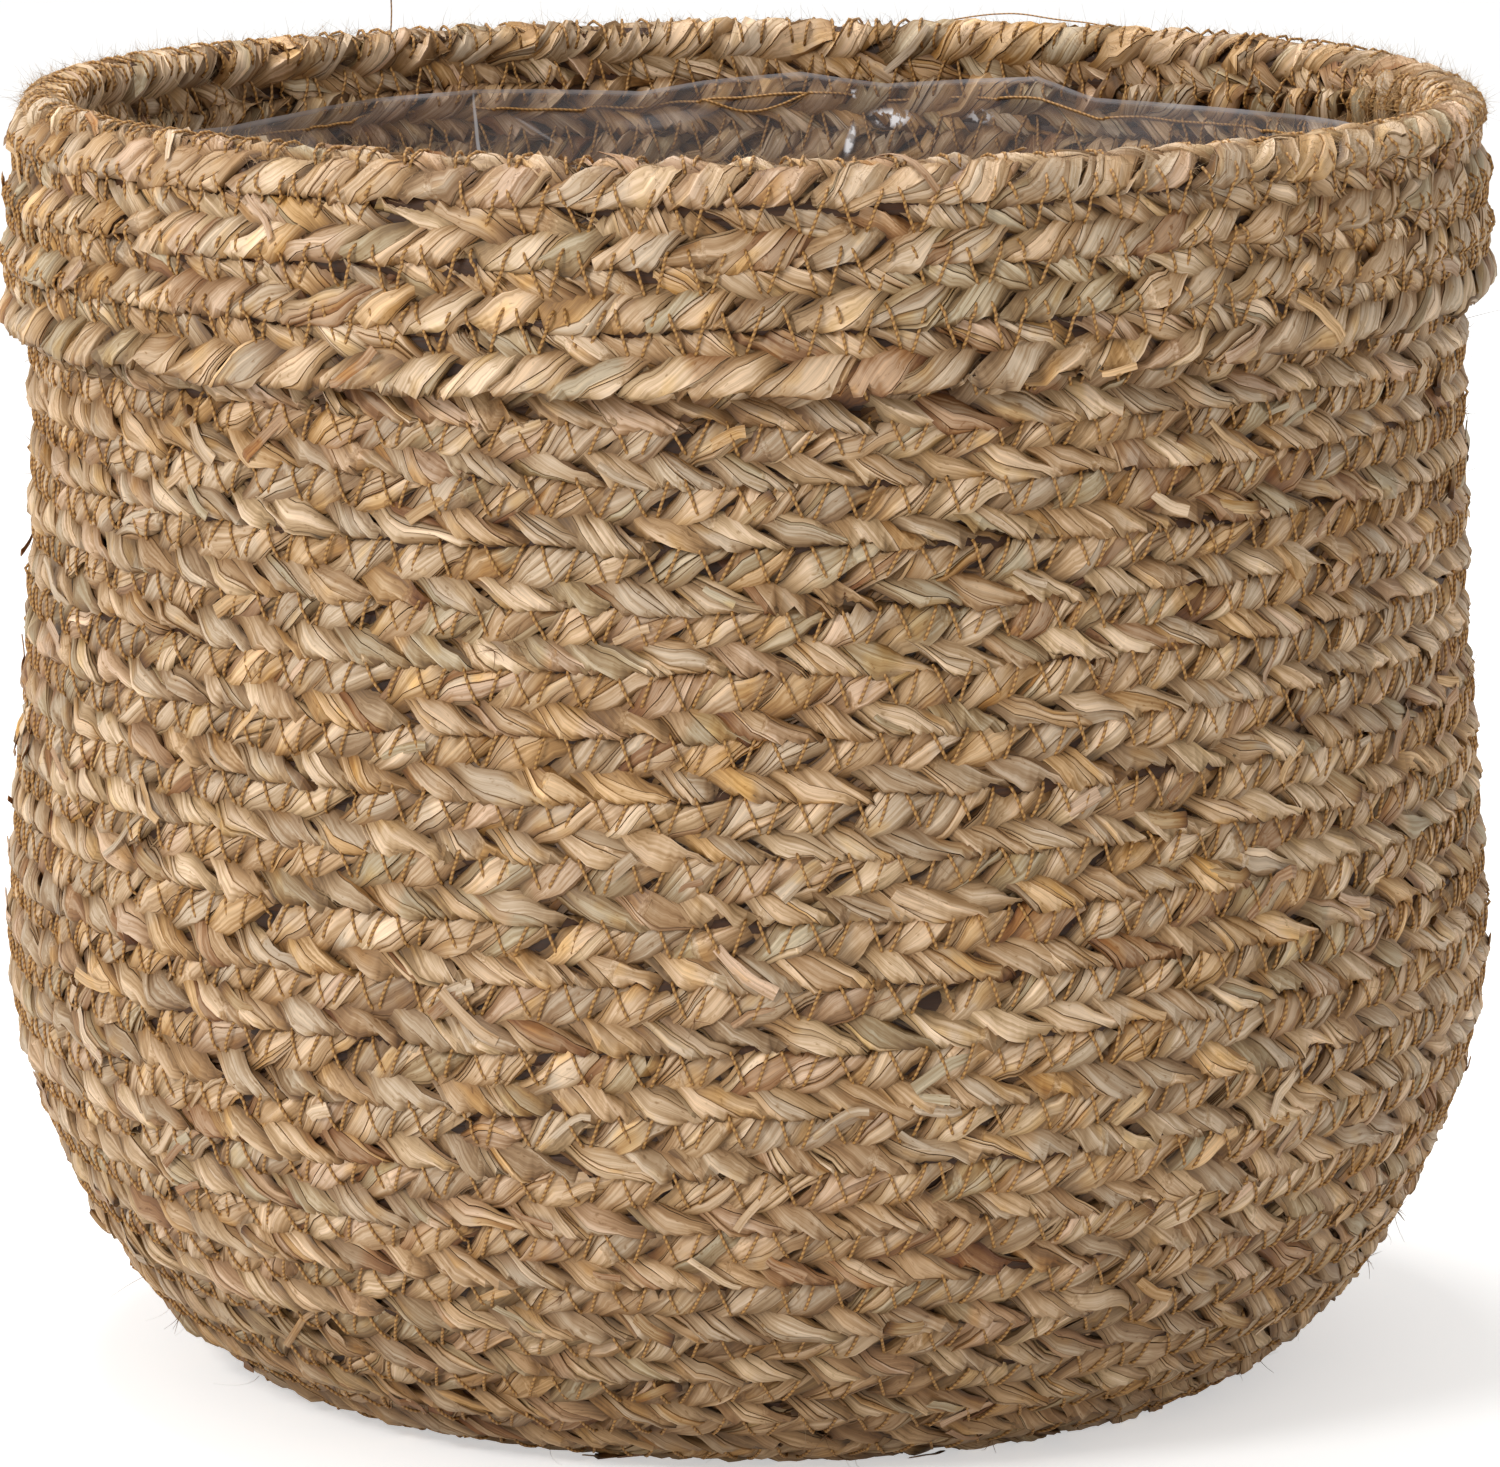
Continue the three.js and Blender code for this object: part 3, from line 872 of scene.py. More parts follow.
# how far the plait's surface stands out at a place, on its outer (1) or inner (-1) face
def surfaceHeight(back, across, face):
    course = np.round(across / pitch)
    length = lengthAt(back - course)
    across = across - course * pitch
    plain = across + plait["sag"] * np.cos(math.pi / 2 * np.clip(across / (pitch / 2), -1, 1))
    plain = plain / plait["spread"]
    edge, bend = plait["edge"], math.pi * plait["lift"] / 2
    bowed = np.arcsin(np.clip((np.abs(plain) - edge + bend) / plait["lift"], 0, 1)) / (math.pi / 2)
    local = np.sign(plain) * (np.minimum(np.abs(plain), edge - bend) + bend * bowed)
    cosine = 1 / math.hypot(1, 4 * edge / plait["period"])
    best = np.full(np.shape(back), feltStrand["between"])
    for strand in range(3):
        middle = strandPath(length, strand)[1]
        for laid in (local, 2 * edge - local):
            off = (laid - middle + 2 * edge) % (4 * edge) - 2 * edge
            side = np.clip(np.abs(off) * cosine / (feltStrand["width"] * plait["halfWidth"]), 0, 1)
            top = feltStrand["height"] * plait["halfDepth"] * (1 - side ** feltStrand["squareness"]) ** 0.5
            top = top + feltStrand["clear"] + face * (foldOver(laid)[1] - plait["tilt"] * across)
            best = np.maximum(best, np.where(side < 1, top, -1))
    return best


smallStep = 0.2 * mm


# direction out of the basket at a place, by stepping a little further out
def outwardAt(back, across, face):
    outward = onBasket(back, across, face * smallStep) - onBasket(back, across, 0 * back)
    return outward / np.linalg.norm(outward, axis=-1, keepdims=True)


# side and up directions along points, and the distance run in mm
def framesAlong(points, outward):
    tangent = np.gradient(points, axis=0)
    tangent /= np.linalg.norm(tangent, axis=1, keepdims=True) + 1e-9
    side = np.cross(tangent, outward)
    side /= np.linalg.norm(side, axis=1, keepdims=True) + 1e-9
    run = np.r_[0, np.cumsum(np.linalg.norm(np.diff(points, axis=0), axis=1))] / mm
    return side, np.cross(side, tangent), run


# a round thread along points, with the twist's own coordinates
def threadTube(points, outward, radius, sides=5):
    side, up, run = framesAlong(points, outward)
    around = np.linspace(0, fullTurn, sides, endpoint=False)
    c, s = np.cos(around)[None, :, None], np.sin(around)[None, :, None]
    rings = points[:, None, :] + radius * (c * side[:, None, :] + s * up[:, None, :])
    grain = np.stack(np.broadcast_arrays(c[..., 0], run[:, None], s[..., 0]), -1)
    return tubePart(rings, grain=grain)


sewing = {
    "radius": 0.43 * mm,
    "stride": 13.4 * mm,          # from one V to the next
    "uneven": (0.92, 1.08),       # shortest and longest stride, as shares
    "spare": 0.9,                 # strides are drawn as if all were this short
    "stray": 0.7,                 # mm that a hole can be off its place
    "legShares": (0.0, 0.30, 0.45, 0.74),  # along a stride: down a leg, a short hidden step, and up a leg
    "clear": 0.8,                 # thread's middle above the strands, in radii
    "bridge": 0.4 * mm,           # the most that a leg stands above the strands where it spans a dip
    "pulls": 12,                  # how often each leg is pulled straighter
    "dive": 1.2 * mm,             # at both ends of a leg
    "frontReach": (0.56, -0.06),  # in courses: from the seam down past the course's middle
    "backReach": (0.19, 0.97),    # on the plait's other face it crosses the seam
    "insideReach": (0.12, 0.88),
    "tailShare": 0.55,            # of its radius where an end stands loose
}


# the legs of a zigzag thread on one face of the plait, each pulled straight between its two holes
def zigzag(firstBack, lastBack, face, reach, seed, legPoints):
    rng = np.random.default_rng(seed)
    stride, stray = sewing["stride"], sewing["stray"]
    first, last = lengthAt(lastBack), lengthAt(firstBack)
    strides = rng.uniform(*sewing["uneven"], int((last - first) / stride / sewing["spare"]) + 4) * stride
    starts = first + np.cumsum(strides)
    starts = starts[starts < last - stride][:, None]
    spots = len(starts), 4
    holes = starts + np.array(sewing["legShares"]) * stride + rng.uniform(-stray, stray, spots) * mm
    level = np.array([reach[0], reach[1], reach[1], reach[0]]) * pitch
    level = level + rng.uniform(-stray, stray, spots) * mm
    holes, level = holes.reshape(-1, 2, 1), level.reshape(-1, 2, 1)
    t = np.linspace(0, 1, legPoints)
    along = holes[:, 0] * (1 - t) + holes[:, 1] * t
    across = level[:, 0] * (1 - t) + level[:, 1] * t
    back = backAt(along)
    ground = surfaceHeight(back, across, face) + sewing["clear"] * sewing["radius"]
    height = ground.copy()
    for _ in range(sewing["pulls"]):
        even = np.minimum((height[:, :-2] + height[:, 2:]) / 2, ground[:, 1:-1] + sewing["bridge"])
        height[:, 1:-1] = np.maximum(ground[:, 1:-1], even)
    for end, beside in ((0, 1), (-1, -2)):
        height[:, end] = np.minimum(height[:, end], height[:, beside]) - sewing["dive"]
    points, outward = onBasket(back, across, face * height), outwardAt(back, across, face)
    return [threadTube(points[i], outward[i], sewing["radius"]) for i in range(len(points))]


thread = {
    "twistLength": 1.5,           # mm along the thread for a turn of the twist
    "groove": (0.21, 0.092, 0.022, 1),
    "ridge": (0.48, 0.255, 0.072, 1),
    "bump": (0.7, 0.12 * mm),
    "roughness": 0.5,
}


# twisted thread: slanting stripes round the tube, darker in the grooves of the twist with painted shade
def makeThreadMaterial():
    made, tree, shader = newMaterial("sewingThread")
    link = tree.links.new
    grain = addNode(tree, "ShaderNodeAttribute", (-1200, 0), attribute_name="grain")
    split = addNode(tree, "ShaderNodeSeparateXYZ", (-1000, 0))
    link(grain.outputs["Vector"], split.inputs[0])
    turn = addMaths(tree, "MULTIPLY", split.outputs["Y"], fullTurn / thread["twistLength"], (-800, -100))
    sine = addMaths(tree, "SINE", turn, None, (-600, 0))
    cosine = addMaths(tree, "COSINE", turn, None, (-600, -200))
    first = addMaths(tree, "MULTIPLY", sine, split.outputs["X"], (-400, 0))
    second = addMaths(tree, "MULTIPLY", cosine, split.outputs["Z"], (-400, -200))
    stripes = addRemap(tree, addMaths(tree, "ADD", first, second, (-250, -100)), -0.9, 0.6, 0, 1, (-100, 0))
    # painted shade: the groove colour stands for the twist's shaded grooves, the ridge colour for its lit
    # crowns
    colours = addNode(tree, "ShaderNodeMix", (100, 0), data_type="RGBA")
    colours.inputs[6].default_value = thread["groove"]
    colours.inputs[7].default_value = thread["ridge"]
    link(stripes, colours.inputs[0])
    link(colours.outputs[2], shader.inputs["Base Color"])
    addBump(tree, shader, stripes, *thread["bump"], (100, -250))
    shader.inputs["Roughness"].default_value = thread["roughness"]
    return made


threadMaterial = makeThreadMaterial()
for node in ("base_seam_thread", "wall_seam_thread", "cuff_seam_thread", "liner_stitch_thread"):
    coverings[node] = threadMaterial, "sewing_thread"


# sews one seam, in pieces of about so many turns
def sewSeam(name, firstBack, lastBack, face, reach, seed, node, loops, legPoints):
    count = max(1, round((firstBack - lastBack) / loops))
    cuts = np.linspace(firstBack, lastBack, count + 1)
    for i in range(count):
        legs = zigzag(cuts[i], cuts[i + 1], face, sewing[reach], seed + i, legPoints)
        addPiece(f"{name}{i + 1}", legs, node)


# for each seam: turns back from the tail at its first and last stitch, the plait's face, reach, seed, node,
# turns in a piece and points in a leg
seams = {
    "wallStitches": (wallStart, wallEnd + 3.2, 1, "frontReach", 700, "wall_seam_thread", 6, 8),
    "cuffStitches": (wallEnd + 1.6, 0.96, -1, "backReach", 720, "cuff_seam_thread", 3, 8),
    "baseStitches": (basket["loops"] - 1.2, wallStart, 1, "frontReach", 740, "base_seam_thread", 8, 5),
    "innerStitches": (wallEnd + 7, wallEnd + 1.6, -1, "insideReach", 760, "wall_seam_thread", 6, 6),
}
for name, seam in seams.items():
    sewSeam(name, *seam)
print("seams sewn")

# the film liner: a bag of clear film, creased and standing a little off the plait near its edge
film = {
    "gap": 4.9 * mm,              # from the middle of the plait in to the film
    "slack": 1.6 * mm,
    "edgeSlack": 3.4 * mm,        # more slack towards the open edge
    "edgeReach": 60 * mm,         # and how far down that goes
    "waves": (23, 61, 90, 40),    # round the film: slow and quick ones, and two whose product makes creases
    "wavy": (0.6, 0.35, 0.35),    # share of the slack that is even, and that the waves and the creases change
    "tightTo": 90 * mm,           # nearer to the floor's middle the film lies closer
    "tightLeast": 0.15,
    "columns": 720,
    "grainSize": (1140, 460),     # mm round the film and up it, for its markings
    # height of the edge round the mouth, degrees counter-clockwise from the right
    "edge": (
        (0, 330), (23, 331), (35, 330.5), (48, 330), (56, 330), (62, 335), (77, 331.5), (85, 334.5),
        (94, 332), (100, 329), (116, 331), (130, 329.5), (145, 326.6), (170, 329), (200, 331),
        (240, 329), (275, 332), (310, 330), (340, 331.5), (360, 330),
    ),
    "colour": (0.66, 0.64, 0.66, 1),
    "haze": (0.15, 0.05),         # how much the film hides, and how much that changes
    "overlaps": ((133, 152), (22, 29.5)),  # where it lies double, in degrees
    "overlapHaze": 0.15,
    "overlapFrom": 0.88,          # height shares from which it does, and of the doubled edge
    "edgeHaze": 0.30,
    "edgeFrom": 0.9975,
    # height shares of the rings up the film, closer towards the open edge, with their numbers
    "rings": ((0.004, 0.30, 26), (0.31, 0.86, 66), (0.865, 0.9965, 40), (0.9984, 1, 2)),
    # creases and glints, partly whitened film and partly painted reflections that glow: degrees, mm below the
    # edge, half width and height in mm, slant, strength, crumpled
    "marks": (
        (115.6, 14, 0.9, 22, 0.17, 0.55, 0),
        (109.8, 11.5, 1.5, 6.5, 1.78, 0.35, 0),
        (98, 9, 25, 3.4, 0, 0.26, 0),
        (80.5, 17, 1.9, 7, -0.25, 0.95, 0.5),
        (76.5, 9.5, 8.5, 3.6, 0, 0.95, 1),
        (79.8, 4, 4.5, 1.7, 0, 0.8, 1),
        (67.8, 10, 6, 2.8, 0, 0.6, 1),
        (54, 9, 18, 1.8, 0, 0.16, 0),
    ),
    # painted reflections: the marks glow white with this strength
    "glow": 0.35,                 # of the marks
    "cloudy": (0.70, 0.80, 0, 0.18),  # noise at which milky spots start and are full, and what they hide
    "roughness": (0.12, 0.3),
    "bump": (0.6, 1.5 * mm),
}
wallS = np.linspace(profile["cornerStart"] + 0.05, profile["wallTop"], 900)
wallZ = np.interp(wallS, profile["s"], profile["z"])


# a place on the film: angle in radians, height share from 0 at the floor's middle to 1 at the edge
def onFilm(angle, share, inward=0.0):
    degrees = np.degrees(angle) % 360
    edgeZ = np.interp(degrees, *zip(*film["edge"])) * mm
    edgeS = np.interp(edgeZ, wallZ, wallS)
    s = share * edgeS
    nearEdge = np.clip((s - edgeS + film["edgeReach"]) / film["edgeReach"], 0, 1)
    ways = degrees / 360
    first, second, third, fourth = (1 / count for count in film["waves"])
    slow = drift(ways, first, 31) + 0.6 * drift(ways + 3 * s, second, 32)
    creases = np.abs(drift(ways + 0.4 * s, third, 33, True)) * drift(ways + 2 * s, fourth, 34)
    slack = film["slack"] + (film["edgeSlack"] - film["slack"]) * nearEdge
    even, waved, creased = film["wavy"]
    tight = np.clip(s / film["tightTo"], film["tightLeast"], 1)
    offWall = slack * (even + waved * slow + creased * creases) * tight
    r, z = offProfile(s, -film["gap"] - np.maximum(offWall, 0) - inward)
    return np.stack([r * np.cos(angle), r * np.sin(angle), z], -1)


# one crease or glint on the film, as a soft spot that can be broken up; the glow it gives is a painted
# reflection
def makeMarkGroup():
    group, enter, leave = newGroup(
        "filmMark",
        {
            "Grain": "Vector", "Centre": "Vector", "Size": "Vector", "Slant": "Float", "Strength": "Float",
            "Crumpled": "Float", "Noise": "Float",
        },
        {"Value": "Float"},
    )
    link = group.links.new
    off = addNode(group, "ShaderNodeVectorMath", (-1000, 0), operation="SUBTRACT")
    link(enter.outputs["Grain"], off.inputs[0])
    link(enter.outputs["Centre"], off.inputs[1])
    split = addNode(group, "ShaderNodeSeparateXYZ", (-800, 0))
    link(off.outputs[0], split.inputs[0])
    shear = addMaths(group, "MULTIPLY", split.outputs["Y"], enter.outputs["Slant"], (-600, -150))
    join = addNode(group, "ShaderNodeCombineXYZ", (-300, 0))
    link(addMaths(group, "SUBTRACT", split.outputs["X"], shear, (-450, 0)), join.inputs["X"])
    link(split.outputs["Y"], join.inputs["Y"])
    scaled = addNode(group, "ShaderNodeVectorMath", (-150, 0), operation="DIVIDE")
    link(join.outputs[0], scaled.inputs[0])
    link(enter.outputs["Size"], scaled.inputs[1])
    far = addNode(group, "ShaderNodeVectorMath", (0, 0), operation="LENGTH")
    link(scaled.outputs[0], far.inputs[0])
    spot = addRemap(group, far.outputs["Value"], 0.35, 1, 1, 0, (150, 0), "SMOOTHSTEP")
    crumpled = enter.outputs["Crumpled"]
    broken = addRemap(group, enter.outputs["Noise"], 0.47, 0.56, 0, 1, (0, -250))
    broken = addMaths(group, "MULTIPLY", broken, crumpled, (150, -300))
    whole = addMaths(group, "SUBTRACT", 1.0, crumpled, (0, -400))
    broken = addMaths(group, "ADD", broken, whole, (300, -300))
    broken = addMaths(group, "MINIMUM", broken, 1.0, (450, -300))
    spot = addMaths(group, "MULTIPLY", spot, broken, (500, 0))
    link(addMaths(group, "MULTIPLY", spot, enter.outputs["Strength"], (700, 0)), leave.inputs["Value"])
    return group


def makeFilmMaterial():
    made, tree, shader = newMaterial("clearFilm")
    link = tree.links.new
    grain = addNode(tree, "ShaderNodeAttribute", (-1500, 0), attribute_name="grain").outputs["Vector"]
    layers = addNode(tree, "ShaderNodeAttribute", (-700, 300), attribute_name="shade")
    wrinkles = addNoise(tree, grain, (0.10, 0.045, 1), 3, (-600, -200))
    crumpled = addNoise(tree, grain, (0.05, 0.11, 1), 4, (-600, 0))
    sharp = addNoise(tree, grain, (0.42, 0.35, 1), 4, (-1100, -500))
    group = makeMarkGroup()
    girth, height = film["grainSize"]
    marks = None
    for i, (degrees, below, halfWidth, halfHeight, slant, strength, broken) in enumerate(film["marks"]):
        y = -700 - 220 * i
        spot = addNode(tree, "ShaderNodeGroup", (-900, y), node_tree=group)
        spot.inputs["Centre"].default_value = (degrees / 360 * girth, height - below, 0)
        spot.inputs["Size"].default_value = (halfWidth, halfHeight, 1)
        for name, value in (("Slant", slant), ("Strength", strength), ("Crumpled", broken)):
            spot.inputs[name].default_value = value
        link(grain, spot.inputs["Grain"])
        link(sharp, spot.inputs["Noise"])
        mark = spot.outputs["Value"]
        marks = mark if marks is None else addMaths(tree, "MAXIMUM", marks, mark, (-650, y))
    milky = addRemap(tree, crumpled, *film["cloudy"], (-400, 0))
    haze = addMaths(tree, "ADD", layers.outputs["Fac"], milky, (-200, 100))
    haze = addMaths(tree, "MAXIMUM", haze, marks, (-100, 150))
    link(addMaths(tree, "MINIMUM", haze, 1.0, (-50, 100)), shader.inputs["Alpha"])
    # painted reflections: the marks glow white
    glow = addNode(tree, "ShaderNodeCombineColor", (-200, -500))
    for channel in glow.inputs:
        link(marks, channel)
    link(glow.outputs[0], shader.inputs["Emission Color"])
    shader.inputs["Emission Strength"].default_value = film["glow"]
    addBump(tree, shader, wrinkles, *film["bump"], (-200, -250))
    link(addRemap(tree, crumpled, 0.3, 0.7, *film["roughness"], (-200, -100)), shader.inputs["Roughness"])
    shader.inputs["Base Color"].default_value = film["colour"]
    shader.inputs["IOR"].default_value = 1.5
    return made


def makeFilm():
    shares = np.concatenate([np.linspace(*stretch) for stretch in film["rings"]])
    angle, share = np.meshgrid(fullTurn - np.linspace(0, fullTurn, film["columns"], endpoint=False), shares)
    degrees = np.degrees(angle)
    even, change = film["haze"]
    haze = even + change * drift(degrees / 360, 1 / 17, 35)
    doubled = share > film["overlapFrom"]
    for start, end in film["overlaps"]:
        haze = haze + film["overlapHaze"] * ((degrees > start) & (degrees < end) & doubled)
    haze = haze + film["edgeHaze"] * (share > film["edgeFrom"])
    girth, height = film["grainSize"]
    grain = np.stack([degrees / 360 * girth, share * height, 0 * share], -1)
    part = tubePart(onFilm(angle, share), shade=haze, grain=grain)
    part["caps"] = part["caps"][:1]
    bag = addPiece("filmBag", [part], "film_liner")


coverings["film_liner"] = makeFilmMaterial(), "clear_film"
makeFilm()

linerStitch = {
    "height": 0.9885,             # height share of the line of stitches
    # stitches on the side that shows, in degrees
    "shown": (
        (26, 36), (55, 66), (84.3, 94.5), (105.5, 114), (129, 134), (160, 170), (188, 199), (218, 228),
        (246, 257), (275, 286), (305, 315), (334, 345),
    ),
    "inward": 0.5 * mm,
    "dive": 5.2 * mm,             # of the stitches between, behind the film
    "loop": (84.5, 94.0),         # a loose loop, its distance from the film and how far it sags
    "loopInward": 1.0 * mm,
    "loopSag": 0.0085,
    "loopSlack": 0.4 * mm,        # further from the film at the loop's middle
    "uneven": 0.0006,             # height share that a stitch wanders
}


# one stitch round the film, or a loose loop, or a stretch of thread behind it
def stitchLine(start, end, inward, sag=0.0, dive=0.0):
    t = np.linspace(0, 1, 14)
    inward = inward - dive * np.minimum(1, 6 * np.minimum(t, 1 - t))
    angle = np.radians(start + (end - start) * t)
    bow = np.sin(math.pi * t)
    share = linerStitch["height"] - sag * bow + linerStitch["uneven"] * drift(t, 0.3, 37)
    points = onFilm(angle, share, inward + linerStitch["loopSlack"] * bow * (sag > 0))
    return threadTube(points, np.stack([np.cos(angle), np.sin(angle), 0 * angle], -1), sewing["radius"])


def sewLiner():
    shown, inward = linerStitch["shown"], linerStitch["inward"]
    stitches = [stitchLine(start, end, inward) for start, end in shown]
    for i in range(len(shown)):
        start = shown[i - 1][1] - 360 * (i == 0)
        stitches.append(stitchLine(start, shown[i][0], inward, dive=linerStitch["dive"]))
    stitches.append(stitchLine(*linerStitch["loop"], linerStitch["loopInward"], sag=linerStitch["loopSag"]))
    addPiece("linerStitches", stitches, "liner_stitch_thread")


sewLiner()

# ends of the sewing thread standing up from the rim: degrees, mm in from the rim's outside, mm above its top
looseThreads = (
    (
        (74, 5, -4), (72.5, 4, -0.5), (69, 3, 1.6), (66, 3, 2.3), (62.5, 3, 0.9), (59, 3, 0.4),
        (56, 3.5, -1.5), (54, 4, -5),
    ),
    ((122.6, 4, -5), (122.4, 4, 0), (122.35, 4, 4), (122.4, 4, 9)),
)


# a thread through such spots, with its corners smoothed
def looseThread(spots):
    knots = np.array(spots, float)
    knotPlace = np.arange(len(knots))
    t = np.linspace(0, len(knots) - 1, 8 * len(knots))
    degrees, inward, above = (np.interp(t, knotPlace, knots[:, i]) for i in range(3))
    above = np.convolve(np.pad(above, 3, "edge"), np.ones(7) / 7, "valid")
    angle = np.radians(degrees)
    rimR = np.interp(profile["foldEnd"], profile["s"], profile["r"]) + basket["plaitThickness"] / 2
    r = rimR - inward * mm
    points = np.stack([r * np.cos(angle), r * np.sin(angle), basket["height"] + above * mm], -1)
    outward = np.stack([np.cos(angle), np.sin(angle), 0 * angle + 0.02], -1)
    return threadTube(points, outward, sewing["tailShare"] * sewing["radius"])


addPiece("looseThreads", [looseThread(spots) for spots in looseThreads], "cuff_seam_thread")
print("film and its stitches made")

# section of a flat strip of leaf: places across in half widths, lift in thicknesses, and light
leafSection = {
    "across": (-1, -0.55, 0.5, 1, 0.5, -0.55),
    "lift": (0, 0.6, 0.9, 0, -1, -1),
    "shade": (0.8, 1.0, 1.0, 0.85, 0.5, 0.5),
    "sharpEdge": 33,              # degrees
}
onTop = 0.55  # a strand lies on top where the sine of twice its phase is above this


# flat strip along points, with a cut end
def strip(points, outward, width, thickness, tone, seed):
    side, up, run = framesAlong(points, outward)
    across, lift = np.array(leafSection["across"]), np.array(leafSection["lift"])
    across = width[:, None] / 2 * across
    rings = points[:, None, :] + across[..., None] * side[:, None, :]
    rings = rings + (thickness * lift)[None, :, None] * up[:, None, :]
    grain = np.stack(np.broadcast_arrays(across / mm, run[:, None] + seed, seed * 1.7), -1)
    return tubePart(rings, tone=tone, shade=leafSection["shade"], grain=grain)


# places on strands that lie on top, on the side of the plait that shows
def topPlaces(count, rng, firstBack, lastBack, face):
    found = []
    while len(found) < count:
        back, strand = rng.uniform(lastBack, firstBack), int(rng.integers(3))
        phase = strandPath(np.array([lengthAt(back)]), strand)[0]
        if face * math.sin(2 * phase[0]) > onTop:
            found.append((lengthAt(back), strand))
    return found


plaitStart = {
    "leaves": 16,
    "turn": 2.4,                  # radians from one leaf to the next
    "unevenTurn": 0.2,
    "aside": 3,                   # mm that a leaf lies off the middle
    "reach": (13 * mm, 17 * mm),
    "width": (6 * mm, 9 * mm),
    "narrow": 0.25,               # share of the width lost at its ends
    "bow": 2.2 * mm,
    "heights": (1.0 * mm, 5.4 * mm),
    "thickness": 0.4 * mm,
    "tone": (0.8, 1.0),
}


# the plait's start: its leaves lie across one another over the middle of the base
def makeStart(seed):
    rng = np.random.default_rng(seed)
    t = np.linspace(-1, 1, 9)
    low, high = plaitStart["heights"]
    parts = []
    for number in range(plaitStart["leaves"]):
        way = number * plaitStart["turn"] + rng.uniform(-plaitStart["unevenTurn"], plaitStart["unevenTurn"])
        reach = rng.uniform(*plaitStart["reach"])
        aside = rng.uniform(-plaitStart["aside"], plaitStart["aside"]) * mm + plaitStart["bow"] * (1 - t * t)
        forward = t * reach
        height = low + (high - low) * number / (plaitStart["leaves"] - 1)
        points = np.stack([
            forward * math.cos(way) - aside * math.sin(way),
            forward * math.sin(way) + aside * math.cos(way),
            height + (basket["plaitThickness"] / 2 - height) * np.abs(t) ** 3,
        ], -1)
        width = rng.uniform(*plaitStart["width"]) * (1 - plaitStart["narrow"] * t * t)
        tone = palette[rng.integers(len(palette))] * rng.uniform(*plaitStart["tone"])
        upward = np.tile([0.0, 0.0, 1.0], (len(t), 1))
        parts.append(strip(points, upward, width, plaitStart["thickness"], tone, number * 2.9))
    addPiece("basePlaitStart", parts, "base_plait", math.radians(leafSection["sharpEdge"]))


makeStart(825)

stalk = {
    "count": 44,
    "length": (10, 15),           # mm
    "width": (3.2, 5.2),          # mm
    "thickness": 0.95 * mm,
    "slant": 0.3,                 # off the strand's way
    "rise": (1.0, 3.2),           # mm that its end stands higher than its start
    "dip": 1.6 * mm,              # its start goes this far in, and it lies at least this far out
    "taper": 0.85,                # width at its start
    "tones": (0.8, 1.1),
    "tone": (0.56, 0.38, 0.20),
    "light": (0.8, 1, 1, 1, 0.75, 0.22),  # along the stalk, dark at its cut end
}


# thick cut stalks with a dark, frayed end, where a new bundle was laid in
def makeStalks(name, firstBack, lastBack, seed, node):
    rng = np.random.default_rng(seed)
    parts = []
    for number, (length, strand) in enumerate(topPlaces(stalk["count"], rng, firstBack, lastBack, 1)):
        t = np.linspace(0, 1, 6)
        along = length + rng.choice([-1, 1]) * (t - 0.55) * rng.uniform(*stalk["length"]) * mm
        slant = rng.uniform(-stalk["slant"], stalk["slant"]) * (t - 0.3) * 12 * mm
        across = foldOver(strandPath(along, strand)[1])[0] + slant
        back = backAt(along)
        height = np.maximum(surfaceHeight(back, across, 1), stalk["dip"])
        height = height + (t - 0.5) * rng.uniform(*stalk["rise"]) * mm
        height[0] -= stalk["dip"]
        width = rng.uniform(*stalk["width"]) * mm * (stalk["taper"] + (1 - stalk["taper"]) * t)
        tone = np.array(stalk["tone"]) * rng.uniform(*stalk["tones"])
        outward = outwardAt(back, across, 1)
        part = strip(onBasket(back, across, height), outward, width, stalk["thickness"], tone, number * 5.3)
        part["shade"] = part["shade"] * np.repeat(stalk["light"], part["sides"])[:, None]
        parts.append(part)
    addPiece(name, parts, node, math.radians(leafSection["sharpEdge"]))


makeStalks("stalksWall", wallStart, wallEnd + 3.8, 821, "wall_plait")

looseEnd = {
    "length": (7 * mm, 16 * mm),
    "width": (1.6 * mm, 4.2 * mm),
    "thickness": 0.22 * mm,
    "stray": 2.2,                 # mm off the strand's middle
    "turn": 0.35,                 # slant off the strand's way
    "lift": (0.5, 4.5),           # mm that the end could rise
    "liftFrom": 0.45,             # share of its length from which it rises
    "clear": 0.35 * mm,           # above the strands
    "tuck": (1.1 * mm, 0.4 * mm),  # its first two places go in under the strands
    "narrow": 0.25,               # share of the width lost at its start
    "ragged": 0.08,               # and how much its sides waver
    "light": (0.8, 1.06),
}


